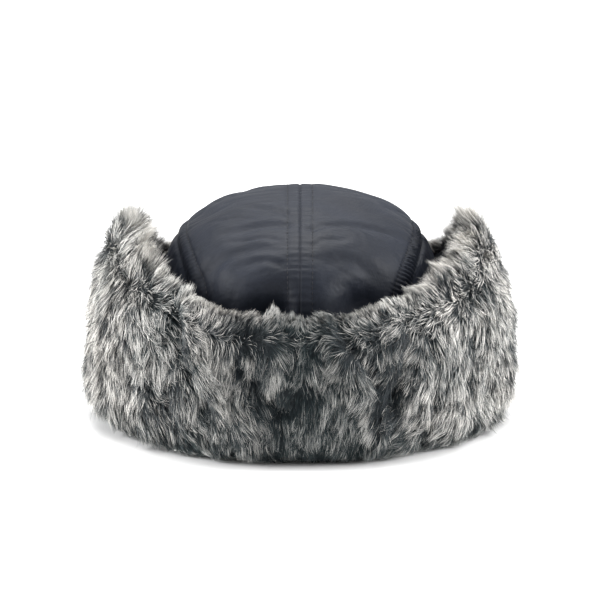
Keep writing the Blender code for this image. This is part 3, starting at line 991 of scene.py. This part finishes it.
def make_flap_cloth(materials):
    """Nylon shell and wadding of each flap."""
    for flap in FLAPS:
        nylon, wadding = materials["flap_nylon"], materials["wadding"]
        shell = flap_slab(f"{flap}_nylon", flap, FLAP_SHELL, *FLAP_GRID, nylon, turned=FLAP_TURN_IN)
        hang(shell, flap, f"{flap}_shell")
        batt = flap_slab(f"{flap}_batt", flap, FLAP_WADDING, *WADDING_GRID, wadding, WADDING_INSET)
        hang(batt, flap, f"{flap}_wadding")


# ---- the fur ----
# Angle is the direction from the hat's middle, 0 at the wearer's left ear and 90 at the back, and
# height is the share of the flap's height above the fold.

GUARD_COUNT = 24500
RIM_COUNT = 6000
UNDERFUR_COUNT = 24000
TUFT_SPACING = 0.0030
LOCK_SPACING = 0.0120
LOCK_PULL = 0.30
TUFT_TONE_SPREAD = 0.20
STRAND_TONE_SPREAD = 0.13
# along a strand, where its dark root turns to frost, as shares of its length
FROST_START = 0.24
FROST_LATER_DARK = 0.42
# frost starts sooner at the hat's sides: partly the fur's own frosting, partly painted light where the side
# lamps fall
SIDE_FROST_AND_LIGHT = 0.22
FROST_REACH = 0.62
DARK_TIP_LOSS = 0.30
# the back's tips are less pale than the sides': partly the fur's colour, partly painted shade
BACK_TONE_AND_SHADE = 0.64
NAP_LEAN = 35.0
HEM_SWEEP = 42.0
NAP_PARTING = 0.95
HANG_SHARE = 0.08
HEM_PILE = 0.0032
STRAY_PALE = 0.12
CROWN_CLEARANCE = 0.0025
TABLE_CLEARANCE = (0.0006, 0.003)
VALLEY_HEIGHT = 0.09
# painted shade along the pile's creases, and painted light along its ridges, in the strands' tone
VALLEY_SHADE = 1.7
BLOTCHES = ((0.38, 0.016, 41), (0.36, 0.0075, 43))  # strength, size and seed of the soft blotches
LUMPS = ((0.16, 0.026, 51), (0.09, 0.011, 53))  # and of the undercoat's lumps
# places round the hat as (angle, width), in degrees
EDGE_PEAKS = ((79.0, 2.2, 1.0), (101.0, 2.5, 0.6))  # and a share of the full peak
LEFT_TIP = (16.0, 12.0)
LOWER_MIDDLE = (90.0, 26.0)
DARK_BACK = (80.0, 20.0)
# what each place adds to the lift of the strands, and to their length as a share of it
LIFTS = {"even": 0.46, "parting": 0.15, "corner": 0.45, "middle": -0.12}
LENGTHS = {"hem": -0.25, "standing": -0.46, "standing_tip": 0.30, "tip": 0.35, "peak": 1.1}
LENGTHS.update(left_tip=0.45, corner=0.42, middle=-0.30)
STANDING_COURSE = 8.0  # degrees from upright, of the fur above the parting
HEM_SWEEP_HEIGHT = 0.12
EDGE_INWARD = {True: 0.75, False: 0.10}  # how far the edge's fur leans to the crown: ear flaps, others
PARTING_WANDER = (0.05, 0.016, 61)  # strength, size and seed, as in the unrests below
PARTING_RANGE = (0.10, 0.06)  # shares of the height below and above the parting
SIDE_SOFTNESS = 0.12  # how gently the nap changes sides
COURSE_UNREST = ((0.60, 0.021, 63), (0.50, 0.0075, 65))
SIDE_CALM = 0.55  # share of the unrest at the hat's sides
SIDEWAYS_UNREST = (0.30, 0.012, 67)
EDGE_UNREST = (0.45, 0.010, 69)
EDGE_RISE, EDGE_SIDEWAYS = 0.6, 0.5
EDGE_FACING = (0.55, 0.85)  # the upward parts of the normals between which the skin becomes the edge
COMBED_FLAT = 0.85  # share of the course's part along the normal that is taken out
LENGTH_SPREAD, LIFT_SPREAD = (0.70, 1.15), (0.5, 1.5)
SWIRL, SWIRL_SIZE, SWIRL_SEEDS = 0.75, 0.0065, (81, 82, 83)
BEND_BACK = 0.8
ROLL_SPREAD = 0.5
TINT, TINT_WAVE, HEM_TINT = 0.22, (0.25, 0.03, 71), 0.50
MAP_RANGE = (0.02, 0.98)
ENDS_DAMPED = 0.75  # of the normals' sideways part, so that the strands don't fan out at the ends

FUR_VALLEYS = [
    # start (angle, height), end (angle, height), width in degrees, depth as a share of the pile;
    # a depth below zero is a ridge
    # besides shaping the undercoat, a valley paints the strands darker as painted shade, and a ridge paints
    # them paler as painted light
    ((43.5, 0.92), (62.0, 0.36), 3.2, 0.60),
    ((49.5, 1.00), (68.0, 0.36), 2.6, -0.42),
    ((126.0, 0.78), (118.0, 0.32), 3.4, 0.50),
    ((130.0, 0.95), (126.0, 0.78), 4.0, 0.20),
    ((74.0, 0.62), (84.0, 0.36), 4.0, 0.30),
    ((77.0, 1.02), (84.0, 0.66), 1.8, -0.30),
    ((60.0, 0.84), (73.0, 0.78), 2.6, -0.26),
    ((100.0, 0.82), (106.0, 0.50), 2.2, -0.30),
    ((103.0, 0.92), (112.0, 0.52), 2.6, 0.36),
    ((28.0, 0.55), (36.0, 0.20), 4.0, 0.20),
    ((150.0, 0.60), (144.0, 0.25), 4.0, 0.20),
]
DARK_AND_SHADED_PATCHES = [
    # centre (angle, height), half sizes, strength; a patch below zero is paler than its surroundings
    # the patches are partly dark roots where the fur parts and partly painted shade, as along the bottom edge
    # and beside the folds
    ((79.0, 0.86), (17.0, 0.08), 0.9),
    ((82.0, 1.02), (34.0, 0.04), -0.5),
    ((118.0, 0.33), (5.0, 0.14), 0.7),
    ((53.0, 0.58), (3.5, 0.11), 0.6),
    ((88.0, 0.05), (40.0, 0.09), 1.0),
    ((98.0, 0.90), (9.0, 0.10), -0.30),
    ((92.0, 0.40), (9.0, 0.12), 0.45),
    ((122.0, 0.58), (11.0, 0.28), 0.34),
    ((42.0, 0.38), (4.0, 0.06), 0.8),
    ((45.0, 0.10), (5.0, 0.07), 0.8),
    ((22.0, 0.05), (17.0, 0.12), 1.0),
    ((12.0, 0.30), (5.0, 0.10), 0.6),
    ((-6.0, 0.62), (6.0, 0.08), 0.6),
    ((-22.0, 0.25), (7.0, 0.09), 0.7),
    ((171.0, 0.34), (5.0, 0.10), 0.6),
    ((188.0, 0.60), (6.0, 0.09), 0.6),
    ((204.0, 0.24), (7.0, 0.09), 0.7),
    ((-62.0, 0.50), (7.0, 0.10), 0.7),
    ((-88.0, 0.30), (9.0, 0.09), 0.7),
    ((-112.0, 0.62), (7.0, 0.10), 0.7),
    ((150.0, 0.03), (20.0, 0.06), 0.7),
    ((146.0, 0.95), (4.0, 0.06), 0.6),
    ((155.0, 0.90), (4.0, 0.06), 0.7),
    ((30.0, 0.93), (9.0, 0.06), 0.5),
    ((71.0, 0.55), (7.0, 0.11), -0.45),
    ((99.0, 0.69), (5.0, 0.09), -0.45),
    ((62.0, 0.66), (3.0, 0.30), -0.45),
]


def valley(angle, height):
    """Depth of the creases in the pile, as a share of it; ridges count below zero."""
    depth = np.zeros_like(angle)
    rise = np.zeros_like(angle)
    for (a0, h0), (a1, h1), width, most in FUR_VALLEYS:
        share = np.clip((height - h0) / (h1 - h0), 0.0, 1.0)
        off_angle = (angle - a0 - (a1 - a0) * share) / width
        off_height = (height - h0 - (h1 - h0) * share) / VALLEY_HEIGHT
        here = most * np.exp(-(off_angle**2) - off_height**2)
        depth, rise = np.maximum(depth, here), np.minimum(rise, here)
    return depth + rise


def darkness(angle, height, point):
    """How dark the strands are: partly the dark under-colour that shows, partly painted shade in the pile's
    creases and along its bottom edge, with painted light on its ridges; designed patches and soft blotches.
    """
    seen = height - HANG_SHARE * smooth(1.0, 0.85, height)
    dark = waves(point, *BLOTCHES) + VALLEY_SHADE * valley(angle, seen)
    for (a, h), (wide, high), strength in DARK_AND_SHADED_PATCHES:
        dark = dark + strength * np.exp(-(((angle - a) / wide) ** 2) - ((seen - h) / high) ** 2)
    return dark


def undercoat_arrays(flap):
    """Points and quads of a flap's undercoat: a closed, lumpy body under the strands."""
    columns, rows = FLAP_GRID

    def inner(angle, share, from_end, z):
        return (FUR_START + flap_wave(angle, z),) * 2

    def outer(angle, share, from_end, z):
        bare = flap_place(angle, z, 0.02, 0.02)
        lumps = 1.0
        for strength, size, seed in LUMPS:
            lumps = lumps + strength * noise(bare, size, seed)
        pile = pile_share(share, from_end) * UNDERCOAT_SHARE
        pile = pile * (lumps - valley(angle, share - HANG_SHARE)) * (0.93 + 0.07 * ease(share / 0.16))
        return FUR_START + PILE_AT_SIDE * pile, FUR_START + PILE_AT_ENDS * pile

    near, far = (flap_grid(flap, columns, rows, face, 0.0, HEM_PILE) for face in (inner, outer))
    return np.concatenate([near.reshape(-1, 3), far.reshape(-1, 3)]), slab_quads(columns, rows)


def vertex_normals(points, quads):
    """Smooth normals of a mesh of quads."""
    a, b, c, d = (points[quads[:, i]] for i in range(4))
    facing = np.cross(c - a, d - b)
    total = np.zeros_like(points)
    for i in range(4):
        np.add.at(total, quads[:, i], facing)
    return unit(total)


def sample_roots(points, quads, count, random):
    """Random places on a mesh of quads, evenly by area, with their normals."""
    normals = vertex_normals(points, quads)
    triangles = np.concatenate([quads[:, [0, 1, 2]], quads[:, [0, 2, 3]]])
    a, b, c = (points[triangles[:, i]] for i in range(3))
    area = np.linalg.norm(np.cross(b - a, c - a), axis=1)
    chosen = random.choice(len(triangles), count, p=area / area.sum())
    u, v = random.random((2, count))
    flip = u + v > 1.0
    u, v = np.where(flip, 1.0 - u, u), np.where(flip, 1.0 - v, v)
    weights = np.stack([1.0 - u - v, u, v], -1)[..., None]
    corners = triangles[chosen]
    return (points[corners] * weights).sum(1), unit((normals[corners] * weights).sum(1))


def fur_coordinates(flap, roots):
    """Angle round the hat and share of the flap's height of each root."""
    middle, _, edge_height = FLAPS[flap][:3]
    angle = np.degrees(np.arctan2(roots[:, 1] / FOLD_HALF_DEPTH, roots[:, 0] / FOLD_HALF_WIDTH))
    angle = (angle - middle + 180.0) % 360.0 - 180.0 + middle
    return angle, np.clip(roots[:, 2] / edge_height(angle), 0.0, 1.0)


def nap(flap, roots, normals, angle, height):
    """The direction in which the fur is combed at each root, its lift, its length share and paleness.

    Above the parting the fur stands up; below it the fur turns through the back of the hat to hang
    down, and it sweeps almost level along the hem.
    """
    turn = np.radians(angle)
    around, outward = level_directions(turn)
    sense = np.sin(2.0 * turn)
    sense = sense / (np.abs(sense) + SIDE_SOFTNESS)
    parting = NAP_PARTING + waves(roots, PARTING_WANDER)
    down = 1.0 - smooth(parting - PARTING_RANGE[0], parting + PARTING_RANGE[1], height)
    hang_turn = 180.0 - NAP_LEAN * np.abs(np.sin(2.0 * turn)) - HEM_SWEEP * np.exp(-height / HEM_SWEEP_HEIGHT)
    course_turn = np.radians(STANDING_COURSE * (1.0 - down) + hang_turn * down)
    course_turn = course_turn + partly(SIDE_CALM, np.sin(turn) ** 4) * waves(roots, *COURSE_UNREST)
    sideways = np.sin(course_turn) * sense + waves(roots, SIDEWAYS_UNREST)
    course = around * sideways[:, None] + UPRIGHT * np.cos(course_turn)[:, None]
    course = course - normals * (course * normals).sum(1)[:, None] * COMBED_FLAT
    ear = flap.startswith("ear")
    at_tip = np.cos(turn) ** 2 if ear else np.zeros_like(turn)
    inward = EDGE_INWARD[ear] + waves(roots, EDGE_UNREST)
    edge_course = UPRIGHT * EDGE_RISE - outward * inward[:, None] + around * (EDGE_SIDEWAYS * sense)[:, None]
    on_edge = smooth(*EDGE_FACING, normals[:, 2])
    course = unit(course) * (1.0 - on_edge)[:, None] + edge_course * on_edge[:, None]
    peaks = sum(share * bell(angle, at, width) for at, width, share in EDGE_PEAKS)
    corner = smooth(20.0, 48.0, np.abs(angle - 90.0)) * smooth(0.36, 0.08, height)
    middle = bell(angle, *LOWER_MIDDLE) * smooth(0.30, 0.08, height)
    at_parting = down * (1.0 - down) * 4.0
    lift = LIFTS["even"] + LIFTS["parting"] * at_parting + LIFTS["corner"] * corner + LIFTS["middle"] * middle
    length = 1.0 + LENGTHS["hem"] * smooth(0.25, 0.0, height)
    length = length * (1.0 + (LENGTHS["standing"] + LENGTHS["standing_tip"] * at_tip) * (1.0 - down))
    longer = LENGTHS["tip"] * at_tip + LENGTHS["peak"] * peaks + LENGTHS["left_tip"] * bell(angle, *LEFT_TIP)
    length = length * (1.0 + longer * on_edge)
    length = length * (1.0 + LENGTHS["corner"] * corner) * (1.0 + LENGTHS["middle"] * middle)
    return unit(course), lift, length, at_parting * (1.0 - bell(angle, *DARK_BACK))


def grow(roots, normals, course, lift, length, points, size, stray, random):
    """Centre lines of the strands: they rise from the skin and bend back along the nap."""
    count = len(roots)
    t = np.linspace(0.0, 1.0, points)[None, :, None]
    size = (size * length * random.uniform(*LENGTH_SPREAD, count))[:, None, None]
    rise = (lift * random.uniform(*LIFT_SPREAD, count))[:, None]
    start = unit(course + normals * rise + random.normal(0.0, stray, (count, 3)))
    swirl = np.stack([noise(roots, SWIRL_SIZE, seed) for seed in SWIRL_SEEDS], -1)
    bend = -normals * (rise * BEND_BACK) + SWIRL * swirl + random.normal(0.0, stray, (count, 3))
    return roots[:, None, :] + size * (start[:, None, :] * t + bend[:, None, :] * t * t * 0.5)


def clump(lines, roots, area, spacing, strength, power, random):
    """Pulls each strand towards the middle strand of its tuft, more so nearer its tip."""
    count = len(roots)
    leaders = random.choice(count, min(count, max(1, int(area / spacing**2))), replace=False)
    tree = kdtree.KDTree(len(leaders))
    for i, leader in enumerate(leaders):
        tree.insert(roots[leader], i)
    tree.balance()
    tuft = np.array([tree.find(root)[1] for root in roots])
    t = np.linspace(0.0, 1.0, lines.shape[1])[None, :, None]
    pull = strength * t**power * random.uniform(0.3, 1.0, count)[:, None, None]
    return lines + (lines[leaders[tuft]] - lines) * pull, tuft


def keep_clear(lines, random):
    """Keeps the strands above the table and outside the crown."""
    lowest = TABLE_CLEARANCE[0] + TABLE_CLEARANCE[1] * random.random(len(lines))[:, None]
    lines[..., 2] = np.maximum(lines[..., 2], lowest)
    across = lines[..., 0] / (CROWN_HALF_WIDTH + CROWN_CLEARANCE)
    reach = np.hypot(across, lines[..., 1] / (CROWN_HALF_DEPTH + CROWN_CLEARANCE))
    lines[..., :2] *= np.maximum(oval_radius(lines[..., 2]) / np.maximum(reach, 1e-6), 1.0)[..., None]
    return lines


def each_side(values):
    """Doubles what belongs to a strand's points, except at its single tip."""
    return np.concatenate([np.repeat(values[:, :-1], 2, 1), values[:, -1:]], 1)


def strand_mesh(name, lines, normals, tone, tint, width, random):
    """Tapered ribbons along the centre lines, with their tone and tint in the map."""
    count, steps = lines.shape[:2]
    course = unit(np.gradient(lines, axis=1))
    facing = np.repeat(normals[:, None, :], steps, 1)
    roll = random.normal(0.0, ROLL_SPREAD, count)[:, None, None]
    sideways = unit(np.cross(course, facing))
    facing = unit(np.cross(sideways, course))
    sideways = unit(sideways * np.cos(roll) + facing * np.sin(roll))
    shape = np.linspace(0.0, 1.0, steps)
    taper = (1.0 - 0.15 * (1.0 - shape) - 0.75 * shape**2)[None, :-1, None] * width[:, None, None]
    half = sideways[:, :-1] * taper / 2
    pairs = np.stack([lines[:, :-1] - half, lines[:, :-1] + half], 2).reshape(count, -1, 3)
    points = np.concatenate([pairs, lines[:, -1:]], 1)
    each = points.shape[1]
    first = (np.arange(count) * each)[:, None, None]
    k = np.arange(steps - 2)[:, None] * 2
    quads = (first + (k + np.array([0, 1, 3, 2]))[None]).reshape(-1, 4)
    triangles = (first[:, 0] + np.array([each - 3, each - 2, each - 1])).reshape(-1, 3)
    mesh = new_mesh(name, points.reshape(-1, 3), quads, triangles)
    corners = np.empty(len(mesh.loops), np.int32)
    mesh.loops.foreach_get("vertex_index", corners)
    place = np.clip(np.stack([np.repeat(tint, each), each_side(tone).ravel()], -1), *MAP_RANGE)
    layer = mesh.uv_layers.new(name="OFBake")
    layer.data.foreach_set("uv", place[corners].astype(np.float32).ravel())
    soft = unit(each_side(facing) * 0.75 + np.repeat(normals[:, None, :], each, 1) * 0.5)
    mesh.normals_split_custom_set_from_vertices(soft.reshape(-1, 3))
    return mesh


def fur_tones(t, dark, side, tuft_tone, own_tone, most):
    """Tone of each point of each strand: dark roots and frosted tips, paler at the hat's sides partly by the
    fur's frost and partly as painted light from the side lamps.
    """
    start = FROST_START + FROST_LATER_DARK * dark - SIDE_FROST_AND_LIGHT * side + tuft_tone
    # the frosted tips lose tone under the painted shade and the dark patches
    shaded = DARK_TIP_LOSS * np.clip(dark, 0.0, 1.0) * (1.0 - 0.4 * side)
    peak = most * partly(BACK_TONE_AND_SHADE, side) - shaded + own_tone
    rise = smooth(0.0, 1.0, (t[None, :] - start[:, None]) / FROST_REACH)
    return np.clip(peak[:, None] * rise, 0.0, 1.0)


def fur_layer(name, flap, roots, normals, area, settings, materials, random):
    """One object of strands: the guard hairs or the underfur of a flap."""
    points, size, width, stray, tuft_pull, most = settings
    angle, height = fur_coordinates(flap, roots)
    turn = np.radians(angle)
    around, _ = level_directions(turn)
    normals = unit(normals - around * (ENDS_DAMPED * (normals * around).sum(1))[:, None])
    course, lift, length, paler = nap(flap, roots, normals, angle, height)
    lines = grow(roots, normals, course, lift, length, points, size, stray, random)
    lines, _ = clump(lines, roots, area, LOCK_SPACING, LOCK_PULL, 1.6, random)
    lines, tuft = clump(lines, roots, area, TUFT_SPACING, tuft_pull, 1.2, random)
    lines = keep_clear(lines, random)
    # the darkness holds painted shade as well as the dark roots that show
    dark = np.clip(darkness(angle, height, roots) - 0.5 * paler, -0.6, 1.0)
    dark = dark * np.where(random.random(len(roots)) < STRAY_PALE, 0.1, 1.0)
    # painted light, in part: the strands grow paler towards the hat's sides, where the side lamps fall, as
    # well as by their own frost
    side = np.abs(np.cos(turn)) ** 1.3 * partly(0.62, smooth(-0.10, 0.30, np.sin(turn)))
    tuft_tone = random.normal(0.0, TUFT_TONE_SPREAD, tuft.max() + 1)[tuft]
    own_tone = random.normal(0.0, STRAND_TONE_SPREAD, len(roots))
    tone = fur_tones(np.linspace(0.0, 1.0, points), dark, side, tuft_tone, own_tone, most)
    tint = TINT + waves(roots, TINT_WAVE) + HEM_TINT * smooth(0.30, 0.0, height)
    widths = width * random.uniform(0.7, 1.3, len(roots))
    mesh = strand_mesh(name, lines, normals, tone, tint, widths, random)
    hang(new_object(name, mesh, materials["strands"]), flap)


# points on a strand, length, width, stray, pull of its tuft, and the palest tone
UNDERFUR = (4, 0.0120, 0.00050, 0.30, 0.35, 0.64)
GUARD_HAIRS = (5, 0.0160, 0.00032, 0.15, 0.66, 1.0)


def make_fur(flap, materials):
    """The undercoat of one flap, and the underfur and guard hairs that grow out of it."""
    random = np.random.default_rng(FLAPS[flap][4])
    points, faces = undercoat_arrays(flap)
    quads = np.concatenate(faces)
    undercoat = closed_object(f"{flap}_undercoat", points, quads, materials["undercoat"], 80.0)
    hang(undercoat, flap, f"{flap}_fur")
    outside = np.concatenate([faces[0]] + faces[2:])
    a, b, c, d = (points[outside[:, i]] for i in range(4))
    area = np.linalg.norm(np.cross(c - a, d - b), axis=1).sum() / 2
    roots, normals = sample_roots(points, outside, UNDERFUR_COUNT, random)
    fur_layer(f"{flap}_underfur", flap, roots, normals, area, UNDERFUR, materials, random)
    grown = [
        sample_roots(points, where, count, random)
        for where, count in ((outside, GUARD_COUNT), (faces[3], RIM_COUNT))
    ]
    roots, normals = (np.concatenate(both) for both in zip(*grown))
    fur_layer(f"{flap}_guard_hairs", flap, roots, normals, area, GUARD_HAIRS, materials, random)


# ---- straps, fold strips and buckles ----


def strap_place(side, y, z, off):
    """A point off the ear flap's nylon face, towards the crown."""
    length = math.hypot(FLAP_LEAN, 1.0)
    x = FOLD_HALF_WIDTH + FLAP_LEAN * z - off / length
    return np.stack([side * x, y, z + off * FLAP_LEAN / length], -1)


STRAP_OFF = 0.0011  # from the flap's nylon face
STRAP_THICKNESS = 0.0013
WEBBING_RIBS = ((0.00012, 0.0018), (0.00006, 0.0012))  # depth and spacing, along and across
SELVEDGE_DROP, SELVEDGE = 0.0003, (0.0085, 0.0100)  # and the distances from the middle
STITCH_HEIGHT = 0.00145
BOX_HALF_WIDTH, BOX_TOP, BOX_FOOT = 0.0075, 0.002, 0.020


def box_stitch(side, top):
    """The rows of a stitched box with its cross, at the top of a strap."""
    half, high, low = BOX_HALF_WIDTH, top - BOX_TOP, top - BOX_FOOT
    frame_path = [(-half, high), (half, high), (half, low), (-half, low), (-half, high)]
    cross_path = [(half, low), (half, high), (-half, low)]
    box = frame_path + cross_path
    t = np.linspace(0.0, 1.0, 20)
    facing = np.repeat(np.array([[-side, 0.0, FLAP_LEAN]]) / math.hypot(1.0, FLAP_LEAN), len(t), 0)
    return [
        (strap_place(side, y0 + (y1 - y0) * t, z0 + (z1 - z0) * t, STRAP_OFF + STITCH_HEIGHT), facing)
        for (y0, z0), (y1, z1) in zip(box[:-1], box[1:])
    ]


def make_straps(materials):
    """Ribbed webbing on each ear flap, box-stitched at its sewn end."""
    for word, side in (("left", 1), ("right", -1)):
        node, body = f"chin_strap_{word}", f"ear_flap_{word}"
        low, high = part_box(node)
        y, z = np.meshgrid(np.linspace(low.y, high.y, 41), np.linspace(low.z, high.z, 161), indexing="ij")
        rib = sum(depth * np.cos(way / spacing * TURN) for way, (depth, spacing) in zip((z, y), WEBBING_RIBS))
        edge = SELVEDGE_DROP * smooth(*SELVEDGE, np.abs(y))
        near = strap_place(side, y, z, STRAP_OFF + 0.0001 + edge)
        far = strap_place(side, y, z, STRAP_OFF + STRAP_THICKNESS + rib - edge)
        strap = slab_object(f"{node}_webbing", far, near, materials["webbing"])
        attach(strap, body, node)
        rows = box_stitch(side, high.z)
        add_stitches(f"{node}_stitches", rows, materials["thread"], STRAP_STITCH, body)


FOLD_INNER, FOLD_OUTER = -0.0022, 0.0008  # from the fold line
FOLD_NYLON = 0.0005
FOLD_LEVEL, FOLD_DROP = 0.0040, 0.0034


def make_fold_strips(materials):
    """Doubled nylon that joins the hem to each flap."""
    centre, radius = (FOLD_INNER + FOLD_OUTER) / 2, (FOLD_OUTER - FOLD_INNER) / 2
    roll = np.linspace(0.0, math.pi, 13)
    for flap, (middle, half, *_) in FLAPS.items():
        turn = np.radians(np.linspace(middle - half, middle + half, 121))
        grids = []
        for thickness in (0.0, FOLD_NYLON):
            out = centre - np.cos(roll) * (radius - thickness)
            z = FOLD_LEVEL - np.sin(roll) * (FOLD_DROP - thickness)
            z = z + np.where(roll > math.pi * 0.8, 0.010 * (roll / math.pi - 0.8), 0.0)
            a, o = np.meshgrid(turn, out, indexing="ij")
            x, y = (FOLD_HALF_WIDTH + o) * np.cos(a), (FOLD_HALF_DEPTH + o) * np.sin(a)
            grids.append(np.stack([x, y, np.repeat(z[None], len(turn), 0)], -1))
        strip = slab_object(f"{flap}_fold", grids[1], grids[0], materials["flap_nylon"])
        hang(strip, flap)


def finish_buckles(materials):
    """The buckle halves keep their CAD shape and get their moulded plastic."""
    for node in ("buckle_socket", "buckle_prong"):
        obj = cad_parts[node]
        obj.data.materials.clear()
        obj.data.materials.append(materials["plastic"])


# ---- floor, light and camera ----

CAMERA_ELEVATION = 13.5
CAMERA_DISTANCE = 3.2
FRAME_WIDTH = 0.384
AIM_ABOVE_BASE = 0.0698
SENSOR_WIDTH = 36.0


FLOOR_REACH = 60.0
FLOOR_GAP = 0.0004
SKY = [(0.12, (1.0,) * 3), (0.17, (0.15,) * 3), (0.38, (0.28,) * 3), (0.9, (1.0,) * 3)]
SUN_POWER, SUN_SPREAD, SUN_FROM = 3.4, 50.0, (0.0, -0.38, 1.0)
LAMP_POWER, LAMP_SIZE, LAMP_AIM = 34.0, 1.0, (0.0, 0.0, 0.08)
LAMPS = {"left_light": (1.6, 0.15, 0.6), "right_light": (-1.6, 0.15, 0.6)}


def face_from(obj, direction):
    """Turns a lamp or camera so that it looks against a direction."""
    obj.rotation_euler = Vector(direction).to_track_quat("Z", "Y").to_euler()


def make_stage():
    """A plain pale floor, a pale world and soft lights."""
    mesh = bpy.data.meshes.new("floor")
    corners = [(-1, -1), (1, -1), (1, 1), (-1, 1)]
    mesh.from_pydata([(x * FLOOR_REACH, y * FLOOR_REACH, 0.0) for x, y in corners], [], [(0, 1, 2, 3)])
    material, _, _ = new_material("pale_floor", (0.93, 0.93, 0.93), 0.8)
    floor = new_object("floor", mesh, material)
    floor.location.z = -FLOOR_GAP
    world = bpy.data.worlds.new("studio")
    world.use_nodes = True
    tree = world.node_tree
    sky = add_node(tree, "ShaderNodeTexCoord").outputs["Generated"]
    rise = add_node(tree, "ShaderNodeSeparateXYZ", {"Vector": sky}).outputs["Z"]
    tree.links.new(add_ramp(tree, rise, SKY), tree.nodes["Background"].inputs["Color"])
    scene = bpy.context.scene
    scene.world = world
    sun = bpy.data.lights.new("soft_sky", "SUN")
    sun.energy, sun.angle = SUN_POWER, math.radians(SUN_SPREAD)
    face_from(add_to_scene(bpy.data.objects.new("soft_sky", sun)), SUN_FROM)
    for name, place in LAMPS.items():
        light = bpy.data.lights.new(name, "AREA")
        light.size, light.energy = LAMP_SIZE, LAMP_POWER
        lamp = add_to_scene(bpy.data.objects.new(name, light))
        lamp.location = place
        face_from(lamp, lamp.location - Vector(LAMP_AIM))
    scene.view_settings.view_transform = "Standard"
    scene.view_settings.look = "None"


def make_camera():
    """The camera behind the hat, a little above it."""
    low, high = cad_box
    base = Vector(((low.x + high.x) / 2, (low.y + high.y) / 2, low.z))
    tilt = math.radians(CAMERA_ELEVATION)
    back = Vector((0.0, math.cos(tilt), math.sin(tilt)))
    upright = Vector((0.0, -math.sin(tilt), math.cos(tilt)))
    data = bpy.data.cameras.new("camera")
    data.sensor_width = SENSOR_WIDTH
    data.lens = SENSOR_WIDTH * CAMERA_DISTANCE / FRAME_WIDTH
    data.dof.use_dof = False
    camera = add_to_scene(bpy.data.objects.new("camera", data))
    camera.location = base + upright * AIM_ABOVE_BASE + back * CAMERA_DISTANCE
    face_from(camera, back)
    bpy.context.scene.camera = camera


def main():
    make_stage()
    make_camera()
    materials = make_materials()
    make_crown_panels(materials)
    make_crown_stitches(materials)
    make_tape(materials)
    make_sweatband(materials)
    make_binding(materials)
    make_flap_cloth(materials)
    for flap in FLAPS:
        make_fur(flap, materials)
    make_straps(materials)
    make_fold_strips(materials)
    finish_buckles(materials)


main()
